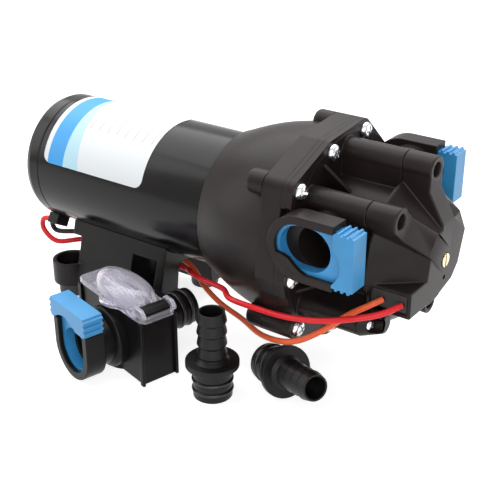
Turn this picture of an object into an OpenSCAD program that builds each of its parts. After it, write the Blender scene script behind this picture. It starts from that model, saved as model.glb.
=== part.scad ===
// Caravan water pump. A can motor on a rubber-footed cradle drives a five-post
// diaphragm head with a pressure switch. Its strainer and two hose tails lie beside it.
// Millimetres, +Z up, +X from motor to head, +Y to the outlet.
// The origin is on the floor, at the centre of the four mounting holes.

/* [Motor] */
// Height of the motor axis above the floor
axis_h = 74; // [72:0.5:82]
// Rear end of the motor behind the centre of the mounting holes
motor_back = 50.5; // [47:0.5:54]
// Outside diameter of the motor can
can_d = 73; // [70:0.5:75]
// Wall of the motor can
can_wall = 2; // [1.5:0.1:2.5]
// Length of the rear end cap
cap_len = 11; // [10:0.5:13]
// Length of the motor can
can_len = 123; // [118:0.5:128]
// Diameter of the motor shaft
shaft_d = 8; // [6:0.5:9]
// Diameter of the armature core
armature_d = 53; // [48:0.5:56]
// Length of the armature core
armature_len = 52; // [44:1:56]
// Diameter of the commutator
commutator_d = 22; // [18:0.5:24]
// Length of the label along the can
label_len = 72; // [50:1:90]
// Arc of the label round the can, in degrees
label_arc = 92; // [60:1:120]

/* [Cradle] */
// Spacing of the mounting holes along the pump
hole_dx = 57; // [52:0.5:62]
// Spacing of the mounting holes across the pump
hole_dy = 54; // [51:0.5:58]
// Diameter of the mounting holes
hole_d = 5.2; // [4.2:0.1:6]
// Length of the cradle
cradle_len = 69; // [64:0.5:74]
// Front end of the cradle ahead of the centre of the mounting holes
cradle_front = 42.5; // [40:0.5:46]
// Width of the tunnel under the saddle
tunnel_w = 26; // [22:0.5:28]
// Diameter of a rubber foot
foot_d = 17; // [15:0.5:18]
// Height of a rubber foot under its ear
foot_h = 8; // [6:0.5:10]

/* [Drive] */
// Length of the bell housing
bell_len = 46.5; // [44:0.5:50]
// Lap of the bell housing over the motor can
bell_lap = 7.5; // [6.5:0.5:10]
// Wall of the bell housing
bell_wall = 3; // [2.5:0.1:4]
// Outside diameter of the flange band
band_d = 104; // [102:0.5:107]
// Length of the flange band
band_len = 13.5; // [12:0.5:16]
// Diameter of the spherical cam bearing
cam_ball_d = 28; // [24:0.5:30]
// Radius of the ring of wobble plate posts
post_ring_r = 22; // [21:0.5:23]

/* [Head] */
// Length of the pump head
head_len = 35.5; // [34:0.5:38]
// Thickness of the head flange
flange_t = 3.5; // [3:0.1:5]
// Diameter of the head core
core_d = 66; // [64:0.5:70]
// Radius of the ring of screw towers
tower_ring_r = 43.5; // [42.5:0.5:44]
// Width of a screw tower
tower_w = 13; // [11.5:0.5:13.5]
// Diameter of the flange screw heads
screw_head_d = 8.6; // [7:0.1:9]

/* [Ports] */
// Port axis ahead of the head's rear face
port_x = 17.5; // [16.5:0.5:18.5]
// Port axis above the motor axis
port_rise = 14.5; // [14:0.5:16]
// Outlet axis behind the inlet axis
outlet_back = 2.5; // [0:0.5:2.5]
// Outlet axis above the inlet axis
outlet_rise = 6; // [0:0.5:6.5]
// Rear face of a port collar from the pump's middle plane
port_out = 46; // [46:0.5:50]
// Diameter of a port bore
port_bore_d = 20.2; // [19.5:0.1:21]
// Depth of a port bore from the rear face of its collar
port_depth = 16; // [12:0.5:18]
// Half height of a port collar
collar_half = 16; // [15.5:0.1:16.2]
// Depth of a collar along its bore
collar_deep = 11; // [10.5:0.1:12]
// Length of a port clip's handle
clip_grip = 26; // [24:0.5:30]

/* [Switch cover] */
// Length of the switch cover
cover_len = 23; // [22:0.5:26]
// Length of the screw towers on the cover
tower_len = 15; // [13:0.5:17]
// Diameter of the pressure adjusting screw
adjuster_d = 7; // [6:0.5:8]

/* [Strainer] */
// Height of the strainer body
strainer_h = 36; // [35:0.5:40]
// Length of the strainer lid
lid_len = 62; // [58:0.5:66]
// Width of the strainer's flat ends
end_w = 21; // [18:0.5:24]
// Width of the strainer at its middle
bowl_w = 28; // [27:0.5:30]
// Height of the strainer's port axis
strainer_axis_h = 17.5; // [17:0.5:19]
// Length of the strainer clip's handle
strainer_grip = 32; // [28:0.5:36]

/* [Hose tail] */
// Height of a hose tail
tail_len = 47; // [44:0.5:52]
// Diameter of a spigot
spigot_d = 19.8; // [19.4:0.1:20]
// Length of a hose tail's spigot
spigot_len = 17; // [16:0.5:20]
// Diameter of a hose tail's flange
tail_flange_d = 27; // [25:0.5:27.5]
// Diameter of the barb crests
barb_d = 15.1; // [14:0.1:16.5]
// Diameter of the water way through a hose tail
tail_bore_d = 11.2; // [9:0.1:11.6]

/* [Leads] */
// Diameter of a lead
lead_d = 3; // [2:0.1:3.4]

/* [Clearances] */
// Radial gap of a running fit
run_gap = 0.04; // [0.02:0.01:0.08]
// Gap between seated pieces
seat_gap = 0.1; // [0.05:0.01:0.2]
// Gap round a sliding clip
slide_gap = 0.3; // [0.2:0.05:0.4]

/* [Hidden] */

// Plastic, rubber and metal colours
black_plastic = [0.10, 0.10, 0.11];
black_paint = [0.06, 0.06, 0.07];
black_rubber = [0.08, 0.08, 0.08];
sky_blue = [0.24, 0.56, 0.82];
zinc = [0.78, 0.79, 0.80];
copper = [0.72, 0.42, 0.22];

// Radii and stations along the pump
can_r = can_d / 2;
can_ri = can_r - can_wall;
shaft_r = shaft_d / 2;
band_r = band_d / 2;
x_cap = -motor_back;
x_can = x_cap + cap_len;
x_can_end = x_can + can_len;
x_bell = x_can_end - bell_lap;
x_band = x_bell + bell_len;
x_head = x_band + band_len;
x_flange = x_head + flange_t;
x_cover = x_head + head_len;
x_tower = x_cover + tower_len;
x_end = x_cover + cover_len;
x_port = x_head + port_x;
z_port = axis_h + port_rise;
x_outlet = x_port - outlet_back;
z_outlet = z_port + outlet_rise;

// Motor: bearings, brushes and the wound armature from the rear
bush_r = shaft_r + 4;
bush_len = 7;
cap_wall = 3;
bearing_r = shaft_r + 7;
front_plate_t = 5.5;
brush_plate_x = x_can + 6;
brush_plate_t = 3;
commutator_x = brush_plate_x + brush_plate_t + 0.5;
commutator_len = 14;
winding_t = 7.5;
winding_r = armature_d / 2 - 3.5;
armature_x = commutator_x + commutator_len + 1 + winding_t;
magnet_gap = 0.8;
brush_w = 8;
brush_l = 10;
label_t = 0.2;
label_low = 15;
label_x = x_can + 4;

// Cradle: ears over the feet, saddle and skirts
ear_t = 4;
ear_top = foot_h + 14;
well_r = foot_d / 2;
ear_r = well_r + 2.5;
foot_neck_r = hole_d / 2 + 3.4;
tunnel_top = axis_h - can_r - 4.5;
cradle_back = cradle_front - cradle_len;
saddle_w = 44;
skirt_w = hole_dy + 10;
cradle_screw_xs = [-8, 8];
cradle_screw_r = 1.9;

// Flange screws: bossed ones stand outside the band, plain ones within it
boss_angles = [140, 220, 292, 340];
top_boss_angle = 73;
plain_angles = [108, 188, 256];
boss_ring_r = band_r + 3;
top_boss_ring_r = band_r - 1;
plain_ring_r = band_r - 3.5;
boss_r = 6;
boss_len = 10;
web_inset = 0.8;
flange_screw_r = 1.9;
flange_screw_len = 18;
screw_hole_r = flange_screw_r + run_gap;
head_t = 3.2;

// Drive: ball on the shaft, wobble plate on the ball, posts up to the diaphragm
x_ball = x_band - 16.5;
cam_hub_len = 8;
cam_ball_r = cam_ball_d / 2;
cam_half = 6;
hub_half = 5;
hub_r = cam_ball_r + 5;
post_r = 5;
post_count = 5;
diaphragm_t = 2;
x_diaphragm = x_head - diaphragm_t - seat_gap;
post_end = x_diaphragm - 0.6;
diaphragm_r = plain_ring_r - flange_screw_r - 3.5;

// Head: pumping chamber, valve plate and the switch chamber in front of it
tower_angles = [90, 138];
short_angle = 214;
outer_angles = concat(tower_angles, [short_angle]);
low_angles = [290, 330];
low_tower_r = 6;
chamber_r = core_d / 2 - 4;
chamber_len = 22;
valve_x = x_head + 8;
valve_t = 3;
valve_r = chamber_r - 2 * seat_gap;
inlet_ring_r = chamber_r * 0.68;
outlet_flap_r = 9;
switch_r = 13;
switch_wall = 3;
tower_r = tower_w / 2;
core_r = core_d / 2;
port_wall = 3.4;

// Port collars and their clips, in a frame with the bore along +Z and release along +X
port_bore_r = port_bore_d / 2;
collar_back = 2.5;
collar_lip = 2.5;
slot_half = collar_half - 2.8;
lip_half = collar_half - 4.2;
pump_reach = 22;
strainer_reach = strainer_axis_h - 0.5;
collar_mouth = 13;
clip_ring_w = 2.4;
clip_block = 10.8;
grip_rib = 1.2;

// Switch cover: end face outline as seen from the front, gland block at its near lower corner
end_face = [[-7, 17], [12, 21], [20, 9], [15, -7], [9, -13], [-13, -18], [-19, -9], [-15, 14]];
cover_rear_r = core_r + 4;
cover_cavity_r = switch_r + 1;
cover_cavity_len = 14;
slab_end_r = 20;
slab_step = 9.5;
cover_screw_r = 1.8;
cover_head_r = 3.3;
cover_head_t = 2.6;
cover_bore_deep = 8;
cover_screw_len = 18;
cover_hole_deep = 16;
x_short = x_cover + 10;
short_ring_r = 39.5;
short_tip_r = 4.5;
short_web = 8;
short_seat = x_cover + 3;
x_low = x_cover + 12;
low_seat = x_cover + 5;
switch_len = 11;
gland_face = -34;
gland_inner = -8;
gland_low = -17;
gland_top = -4;
gland_rim = 2;
gland_deep = 2.5;
gland_t = 1.6;

// Strainer in its own frame: +X along the lid, +Y towards its outlet spigot
strainer_place = [48, -63.2];
strainer_turn = -15.3;
bowl_margin = 0.8;
chamber_margin = 3.4;
bowl_floor = 5;
end_len = lid_len - 4;
lid_t = 3;
dome_len = 46;
dome_w = 23;
dome_h = 7.5;
dome_wall = 2;
neck_r = port_bore_r + port_wall;
neck_face = 22.5;
collar_face = neck_face + 0.5;
spigot_end = neck_face + spigot_len;
seal_in = 1.6;
seal_w = 1.2;
seal_t = 1.8;
spigot_r = spigot_d / 2;
ring_r = 1.1;
groove_r = spigot_r - 1.6;
groove_w = 2.4;
ring_major = groove_r + ring_r + run_gap;
groove_1 = 3;
groove_2 = 8.5;

// Hose tails: one on its spigot, one lying on its flange edge and its outer O-ring
standing_place = [105.3, -65];
lying_place = [134, -44.3];
lying_turn = -26;
tail_flange_r = tail_flange_d / 2;
tail_flange_t = 3;
tail_bore_r = tail_bore_d / 2;
barb_r = barb_d / 2;
barb_root = barb_r - 0.95;
barb_count = 4;
ring_outer = ring_major + ring_r;
ring_1_mid = groove_1 + groove_w / 2;
ring_2_mid = groove_2 + groove_w / 2;
lying_tilt = atan((tail_flange_r - ring_outer) / (spigot_len - ring_1_mid));
lying_h = tail_flange_r * cos(lying_tilt);

// Lead routes, as they lie from the gland to the rear clip
red_route = [[190, -33, 63], [183, -42, 60], [172, -49.5, 57.5], [158, -51.5, 53], [142, -51, 49],
    [126, -48.5, 46], [104.5, -48, 45.7], [90, -36, 42], [67, -25, 36], [52, -15, 31], [42, -8, 28],
    [10, -7, 28], [-24, -7, 28], [-36, -12, 26], [-47, -20, 25], [-55, -22, 31], [-55, -22, 38], [-48, -22, 40.5]];
orange_route = [[180, -33, 63], [175.5, -38.5, 60.5], [168, -43.5, 55.5], [159, -46, 47], [146, -48, 37],
    [135, -48.5, 32.5], [118, -42, 27.5], [98, -30, 24], [76, -20, 22], [58, -11, 23], [46, -4, 26], [34, 0, 28],
    [18, 1, 28]];
black_route = [[-48, -18, 38.3], [-53, -17, 35], [-52, -15, 29], [-44, -9, 28], [-32, 1, 28], [-18, 7, 28],
    [5, 7, 28]];
lead_sides = 8;
lead_steps = 2;
clip_angle = 240;
clip_front = x_cap + 10;
clip_len = 7.5;

// Turned shape about the motor axis from points given as radius, station
module turned(points) {
    translate([0, 0, axis_h]) rotate([0, 90, 0]) rotate_extrude($fn = 96) polygon(points);
}

// Straight rod along the pump, off the axis by y and z
module rod(x0, x1, r, y = 0, z = 0) {
    translate([x0, y, axis_h + z]) rotate([0, 90, 0]) cylinder(r = r, h = x1 - x0, $fn = 48);
}

// Ring of rods along the pump at given angles, counted from +Y towards +Z
module ring_rods(x0, x1, r, angles, ring) {
    for (a = angles) rod(x0, x1, r, ring * cos(a), ring * sin(a));
}

// Plate in a radial plane of the pump, from points given as station, radius
module radial_plate(angle, thick, points) {
    translate([0, 0, axis_h]) rotate([angle, 0, 0]) linear_extrude(height = thick, center = true) polygon(points);
}

// Torus about the local Z axis
module ring_torus(major, minor) {
    rotate_extrude($fn = 64) translate([major, 0]) circle(r = minor, $fn = 24);
}

// Radius of the bell's outer face at a share of its length, slightly bulged
function bell_r(t) = can_r + 2.2 + (band_r - can_r - 2.2) * (t + 0.18 * sin(180 * t));

// Points of the bell's outer face from its rear to its front, drawn in by a wall
bell_steps = 8;
function bell_line(wall, t0) = [for (i = [0 : bell_steps]) let (t = t0 + (1 - t0) * i / bell_steps)
    [bell_r(t) - wall, x_bell + bell_len * t]];
function reversed(list) = [for (i = [len(list) - 1 : -1 : 0]) list[i]];

// Motor

module motor_can() {
    color(black_paint) turned([[can_ri, x_can], [can_r, x_can], [can_r, x_can_end], [can_ri, x_can_end]]);
}

module motor_end_cap() {
    lip = can_ri - seat_gap;
    color(black_paint) turned([[0, x_cap], [can_r - 4, x_cap], [can_r - 1.4, x_cap + 1.2], [can_r, x_cap + 4],
        [can_r, x_can], [lip, x_can], [lip, x_can + 4], [lip - 3, x_can + 4], [lip - 3, x_cap + cap_wall],
        [bush_r + 3, x_cap + cap_wall], [bush_r + 3, x_cap + cap_wall + bush_len],
        [bush_r, x_cap + cap_wall + bush_len], [bush_r, x_cap + cap_wall], [0, x_cap + cap_wall]]);
}

module rating_label() {
    color("white") translate([label_x, 0, axis_h]) rotate([180 - label_low - label_arc, 0, 0]) rotate([0, 90, 0])
        rotate([0, 0, 90]) rotate_extrude(angle = label_arc, $fn = 96)
        translate([can_r + 0.02, 0]) square([label_t, label_len]);
}

module motor_front_plate() {
    color(zinc) turned([[bearing_r + run_gap, x_can_end - front_plate_t], [can_ri - seat_gap, x_can_end - front_plate_t],
        [can_ri - seat_gap, x_can_end], [bearing_r + run_gap, x_can_end]]);
}

module rear_bush() {
    x0 = x_cap + cap_wall + seat_gap;
    color("goldenrod") turned([[shaft_r + run_gap, x0], [bush_r - run_gap, x0], [bush_r - run_gap, x0 + bush_len - 0.5],
        [shaft_r + run_gap, x0 + bush_len - 0.5]]);
}

module front_bearing() {
    x0 = x_can_end - front_plate_t;
    color(zinc) turned([[shaft_r + run_gap, x0], [bearing_r, x0], [bearing_r, x_can_end], [shaft_r + run_gap, x_can_end]]);
}

module magnets() {
    inner = armature_d / 2 + magnet_gap;
    color("dimgray") difference() {
        turned([[inner, armature_x - 4], [can_ri - seat_gap, armature_x - 4],
            [can_ri - seat_gap, armature_x + armature_len + 4], [inner, armature_x + armature_len + 4]]);
        for (side = [0, 180]) translate([0, 0, axis_h]) rotate([side, 0, 0])
            translate([x_can, 0, -can_r * 0.35]) cube([can_len, can_r, can_r * 0.7]);
    }
}

module motor_shaft() {
    color(zinc) rod(x_cap + cap_wall + 1, x_ball + cam_half + 2, shaft_r);
}

module armature_core() {
    slots = 12;
    color("silver") difference() {
        turned([[shaft_r + run_gap, armature_x], [armature_d / 2, armature_x], [armature_d / 2, armature_x + armature_len],
            [shaft_r + run_gap, armature_x + armature_len]]);
        for (i = [0 : slots - 1]) translate([0, 0, axis_h]) rotate([i * 360 / slots, 0, 0])
            translate([armature_x - 1, -1, armature_d / 2 - 2]) cube([armature_len + 2, 2, 4]);
    }
}

module armature_windings() {
    inner = commutator_d / 2 + 0.5;
    for (x = [armature_x - winding_t - seat_gap, armature_x + armature_len + seat_gap])
        color(copper) turned([[inner, x], [winding_r - 2, x], [winding_r, x + 2], [winding_r, x + winding_t - 2],
            [winding_r - 2, x + winding_t], [inner, x + winding_t]]);
}

module commutator() {
    bars = 12;
    color(copper) difference() {
        turned([[shaft_r + run_gap, commutator_x], [commutator_d / 2, commutator_x],
            [commutator_d / 2, commutator_x + commutator_len], [shaft_r + run_gap, commutator_x + commutator_len]]);
        for (i = [0 : bars - 1]) translate([0, 0, axis_h]) rotate([i * 360 / bars, 0, 0])
            translate([commutator_x - 1, -0.3, commutator_d / 2 - 1]) cube([commutator_len + 2, 0.6, 2]);
    }
}

// Space of one brush, grown by a gap, on its side of the commutator
module brush_block(gap) {
    translate([commutator_x + 1 - gap, -brush_w / 2 - gap, commutator_d / 2 + slide_gap])
        cube([brush_l + 2 * gap, brush_w + 2 * gap, brush_l]);
}

module brush_holder() {
    color("saddlebrown") difference() {
        union() {
            turned([[commutator_d / 2 + 2, brush_plate_x], [can_ri - seat_gap, brush_plate_x],
                [can_ri - seat_gap, brush_plate_x + brush_plate_t], [commutator_d / 2 + 2, brush_plate_x + brush_plate_t]]);
            for (side = [0, 180]) translate([0, 0, axis_h]) rotate([side, 0, 0])
                translate([brush_plate_x + 1, -brush_w / 2 - 2, commutator_d / 2 + 2])
                cube([brush_l + 4, brush_w + 4, brush_l - 3]);
        }
        for (side = [0, 180]) translate([0, 0, axis_h]) rotate([side, 0, 0]) brush_block(seat_gap);
    }
}

module brushes() {
    color("dimgray") for (side = [0, 180]) translate([0, 0, axis_h]) rotate([side, 0, 0]) brush_block(0);
}

// Cradle

// Children at the four mounting holes
module at_feet() {
    for (x = [-hole_dx / 2, hole_dx / 2], y = [-hole_dy / 2, hole_dy / 2]) translate([x, y, 0]) children();
}

// Cross section of the saddle and skirts, as Y and height
module cradle_section() {
    saddle_top = axis_h - sqrt(pow(can_r, 2) - pow(saddle_w / 2, 2)) + 4;
    difference() {
        polygon([[-saddle_w / 2 - 1, saddle_top], [-skirt_w / 2, foot_h + 6], [-skirt_w / 2, foot_h],
            [skirt_w / 2, foot_h], [skirt_w / 2, foot_h + 6], [saddle_w / 2 + 1, saddle_top]]);
        polygon([[-tunnel_w / 2, tunnel_top], [-tunnel_w / 2 - 3, foot_h - 1], [tunnel_w / 2 + 3, foot_h - 1],
            [tunnel_w / 2, tunnel_top]]);
    }
}

module base_cradle() {
    well_top = axis_h - can_r;
    color(black_plastic) difference() {
        union() {
            translate([cradle_back, 0, 0]) rotate([90, 0, 90]) linear_extrude(height = cradle_len) cradle_section();
            at_feet() translate([0, 0, foot_h]) cylinder(r = ear_r, h = ear_top - foot_h, $fn = 64);
        }
        rod(cradle_back - 20, cradle_front + 20, can_r + seat_gap / 2);
        at_feet() translate([0, 0, foot_h + ear_t]) cylinder(r = well_r, h = well_top - foot_h - ear_t, $fn = 64);
        at_feet() translate([0, 0, foot_h - 1]) cylinder(r = foot_neck_r + run_gap, h = ear_t + 2, $fn = 48);
        for (x = cradle_screw_xs) translate([x, 0, tunnel_top - 1]) cylinder(r = cradle_screw_r + run_gap, h = 12, $fn = 32);
    }
}

module rubber_feet() {
    rim = well_r - slide_gap;
    top = foot_h + ear_t;
    color(black_rubber) at_feet() rotate_extrude($fn = 64) polygon([[hole_d / 2, 0], [rim, 0], [rim, foot_h],
        [foot_neck_r, foot_h], [foot_neck_r, top], [rim - 0.7, top], [rim - 0.7, top + 3], [hole_d / 2, top + 3]]);
}

module cradle_screws() {
    color(zinc) for (x = cradle_screw_xs) translate([x, 0, tunnel_top - 3]) {
        cylinder(r = 4, h = 3, $fn = 32);
        cylinder(r = cradle_screw_r, h = axis_h - can_r - tunnel_top + 3, $fn = 32);
    }
}

module cable_clip() {
    color(black_plastic) difference() {
        translate([clip_front - clip_len, 0, axis_h]) rotate([clip_angle, 0, 0]) translate([0, can_r - 3, -5])
            cube([clip_len, 9, 10]);
        rod(x_cap - 1, x_can_end, can_r + seat_gap / 2);
    }
}

// Drive

// Bosses of the outer flange screws, sunk in the shell
module bosses(x0, x1) {
    ring_rods(x0, x1, boss_r, boss_angles, boss_ring_r);
    ring_rods(x0, x1, boss_r, [top_boss_angle], top_boss_ring_r);
}

// Holes of all flange screws
module flange_holes(x0, x1) {
    ring_rods(x0, x1, screw_hole_r, boss_angles, boss_ring_r);
    ring_rods(x0, x1, screw_hole_r, [top_boss_angle], top_boss_ring_r);
    ring_rods(x0, x1, screw_hole_r, plain_angles, plain_ring_r);
}

// Room for the port collars beside the flange
module collar_room() {
    for (side = [-1, 1]) at_port(side) translate([-pump_reach - 1, -collar_half - 1, -0.5])
        cube([pump_reach + 20, 2 * collar_half + 2, 20]);
}

module bell_housing() {
    sleeve = can_r + seat_gap / 2;
    stop = x_can_end + seat_gap;
    cavity = bell_line(bell_wall, (stop + 3 - x_bell) / bell_len);
    color(black_plastic) difference() {
        union() {
            turned(concat([[0, x_bell]], bell_line(0, 0), [[0, x_band]]));
            bosses(x_band - boss_len, x_band);
        }
        turned(concat([[0, x_bell - 1], [sleeve, x_bell - 1], [sleeve, stop], [can_ri - 1, stop],
            [can_ri - 1, stop + 3]], cavity, [[band_r - bell_wall, x_band + 1], [0, x_band + 1]]));
        flange_holes(x_band - 6, x_band + 1);
    }
}

module drive_cam() {
    x0 = x_ball - cam_half - cam_hub_len;
    color("gray") difference() {
        union() {
            rod(x0, x_ball - cam_half - seat_gap, shaft_r + 6);
            intersection() {
                rod(x0, x0 + 4, shaft_r + 12);
                translate([x0 - 1, -30, axis_h]) cube([20, 60, 30]);
            }
        }
        rod(x0 - 1, x_ball, shaft_r + run_gap);
    }
}

module cam_bearing() {
    color(zinc) difference() {
        intersection() {
            translate([x_ball, 0, axis_h]) sphere(r = cam_ball_r, $fn = 96);
            rod(x_ball - cam_half, x_ball + cam_half, cam_ball_r + 1);
        }
        rod(x_ball - cam_half - 1, x_ball + cam_half + 1, shaft_r + run_gap);
    }
}

module wobble_plate() {
    color("gainsboro") difference() {
        union() {
            rod(x_ball - hub_half, x_ball + hub_half, hub_r);
            ring_rods(x_ball - hub_half, post_end, post_r, [for (i = [0 : post_count - 1]) 90 + i * 360 / post_count],
                post_ring_r);
        }
        translate([x_ball, 0, axis_h]) sphere(r = cam_ball_r + slide_gap, $fn = 96);
    }
}

// Pump head

module flange_band() {
    inner = diaphragm_r - 3;
    color(black_plastic) difference() {
        union() {
            turned([[inner, x_band + seat_gap], [band_r, x_band + seat_gap], [band_r, x_head - seat_gap],
                [diaphragm_r + 0.7, x_head - seat_gap], [diaphragm_r + 0.7, x_diaphragm - seat_gap],
                [inner, x_diaphragm - seat_gap]]);
            bosses(x_band + seat_gap, x_head - seat_gap);
        }
        flange_holes(x_band - 1, x_head + 1);
        collar_room();
    }
}

module diaphragm() {
    roll = 2.2;
    color(black_rubber) difference() {
        rod(x_diaphragm, x_diaphragm + diaphragm_t, diaphragm_r);
        for (i = [0 : post_count - 1]) let (a = 90 + i * 360 / post_count)
            translate([x_diaphragm + diaphragm_t, post_ring_r * cos(a), axis_h + post_ring_r * sin(a)])
            rotate([0, 90, 0]) difference() {
                cylinder(r = post_r + 2 * roll, h = roll, center = true, $fn = 48);
                cylinder(r = post_r + roll, h = roll + 1, center = true, $fn = 48);
            }
    }
}

// Frame of a pump port: bore along +Z, clip released along +X. Side -1 is the inlet.
module at_port(side) {
    translate([side < 0 ? x_port : x_outlet, side * port_out, side < 0 ? z_port : z_outlet])
        rotate([side < 0 ? 90 : -90, 0, 0]) children();
}

// Slot outline with one round end, open at the mouth
module slot_shape(half, reach, mouth) {
    intersection() {
        union() {
            translate([half - reach, 0]) circle(r = half, $fn = 64);
            translate([half - reach, -half]) square([mouth + reach, 2 * half]);
        }
        translate([-reach - 1, -half - 1]) square([mouth + reach + 1, 2 * half + 2]);
    }
}

// Collar of a port with its clip slot and front lip
module collar(reach) {
    difference() {
        linear_extrude(height = collar_deep) slot_shape(collar_half, reach, collar_mouth);
        translate([0, 0, collar_back]) linear_extrude(height = collar_deep - collar_back - collar_lip)
            slot_shape(slot_half, reach - (collar_half - slot_half), collar_mouth + 1);
        translate([0, 0, collar_deep - collar_lip - 1]) linear_extrude(height = collar_lip + 2)
            slot_shape(lip_half, reach - (collar_half - lip_half), collar_mouth + 1);
    }
}

// Clip of a port: a ring in the slot and a ribbed handle outside it
module port_clip(reach, grip) {
    half = slot_half - slide_gap;
    inset = reach - (collar_half - half);
    low = collar_back + slide_gap;
    high = collar_deep - collar_lip - slide_gap;
    difference() {
        translate([0, 0, low]) linear_extrude(height = high - low) slot_shape(half, inset, collar_mouth + 1);
        translate([0, 0, low - 1]) linear_extrude(height = high - low + 2)
            slot_shape(half - clip_ring_w, inset - clip_ring_w, collar_mouth - 2);
    }
    translate([collar_mouth + slide_gap, -grip / 2, 1]) cube([clip_block, grip, collar_deep]);
    for (i = [0 : 2]) translate([collar_mouth + 1.2 + i * clip_block / 3, grip / 2, 1])
        cube([clip_block / 6, grip_rib, collar_deep]);
}

// Holes of the cover's screws
module cover_holes(x0, x1) {
    ring_rods(x0, x1, cover_screw_r + run_gap, outer_angles, tower_ring_r);
    ring_rods(x0, x1, cover_screw_r + run_gap, low_angles, core_r);
}

module pump_head() {
    bore_wall = port_bore_r + port_wall;
    color(black_plastic) difference() {
        union() {
            difference() {
                union() {
                    rod(x_head, x_flange, band_r);
                    bosses(x_head, x_flange);
                }
                collar_room();
            }
            rod(x_head, x_cover, core_r);
            ring_rods(x_head, x_cover, low_tower_r, low_angles, core_r);
            ring_rods(x_head, x_cover, tower_r, outer_angles, tower_ring_r);
            for (a = outer_angles) radial_plate(a, tower_w - web_inset,
                [[x_head, chamber_r], [x_head, tower_ring_r], [x_cover, tower_ring_r], [x_cover, chamber_r]]);
            for (side = [-1, 1]) at_port(side) {
                collar(pump_reach);
                translate([0, 0, -port_out + chamber_r - 6]) cylinder(r = bore_wall, h = port_out - chamber_r + 7, $fn = 64);
            }
        }
        rod(x_head - 1, x_head + chamber_len, chamber_r);
        rod(x_head, x_cover, 1.6);
        rod(x_head + chamber_len + switch_wall, x_cover + 1, switch_r);
        for (side = [-1, 1]) at_port(side) {
            translate([0, 0, -port_depth]) cylinder(r = port_bore_r, h = port_depth + collar_back + 1, $fn = 64);
            translate([0, 0, -port_out + chamber_r - 8]) cylinder(r = port_bore_r - 3, h = port_out, $fn = 48);
        }
        flange_holes(x_head - 1, x_flange + 1);
        cover_holes(x_cover - cover_hole_deep, x_cover + 1);
    }
}

// Pan head screw along the pump, its head's underside at x and a cross recess in its head
module pan_screw(x, length, r, head_r, head) {
    difference() {
        turned_screw = [[0, x - length], [r, x - length], [r, x], [head_r, x], [head_r, x + head * 0.45],
            [head_r * 0.6, x + head], [0, x + head]];
        translate([0, 0, axis_h]) rotate([0, 90, 0]) rotate_extrude($fn = 48) polygon(turned_screw);
        for (a = [0, 90]) translate([x + head - 1.2, 0, axis_h]) rotate([a, 0, 0])
            translate([0, -head_r * 0.55, -0.5]) cube([3, head_r * 1.1, 1]);
    }
}

// One flange screw at an angle on a ring
module flange_screw(a, ring) {
    translate([0, ring * cos(a), ring * sin(a)])
        pan_screw(x_flange, flange_screw_len, flange_screw_r, screw_head_d / 2, head_t);
}

module flange_screws() {
    color(zinc) {
        for (a = boss_angles) flange_screw(a, boss_ring_r);
        flange_screw(top_boss_angle, top_boss_ring_r);
        for (a = plain_angles) flange_screw(a, plain_ring_r);
    }
}

// Angles of the five inlet valves, between the posts
valve_angles = [for (i = [0 : post_count - 1]) 54 + i * 360 / post_count];

module valve_plate() {
    color("gainsboro") difference() {
        rod(valve_x, valve_x + valve_t, valve_r);
        rod(valve_x - 1, valve_x + valve_t + 1, 2);
        ring_rods(valve_x - 1, valve_x + valve_t + 1, 1.5, valve_angles, inlet_ring_r);
        ring_rods(valve_x - 1, valve_x + valve_t + 1, 1.5, [for (a = valve_angles) a + 36], 6);
    }
}

module inlet_valves() {
    color("dimgray") {
        ring_rods(valve_x - 1.2, valve_x - seat_gap, 4, valve_angles, inlet_ring_r);
        ring_rods(valve_x - 1, valve_x + valve_t + 1, 1.4, valve_angles, inlet_ring_r);
    }
}

module outlet_valve() {
    color("dimgray") {
        rod(valve_x + valve_t + seat_gap, valve_x + valve_t + 1.8, outlet_flap_r);
        rod(valve_x - 1, valve_x + valve_t + 1, 1.9);
    }
}

module inlet_clip() {
    color(sky_blue) at_port(-1) port_clip(pump_reach, clip_grip);
}

module outlet_clip() {
    color(sky_blue) at_port(1) mirror([0, 1, 0]) port_clip(pump_reach, clip_grip);
}

// Pressure switch

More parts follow.
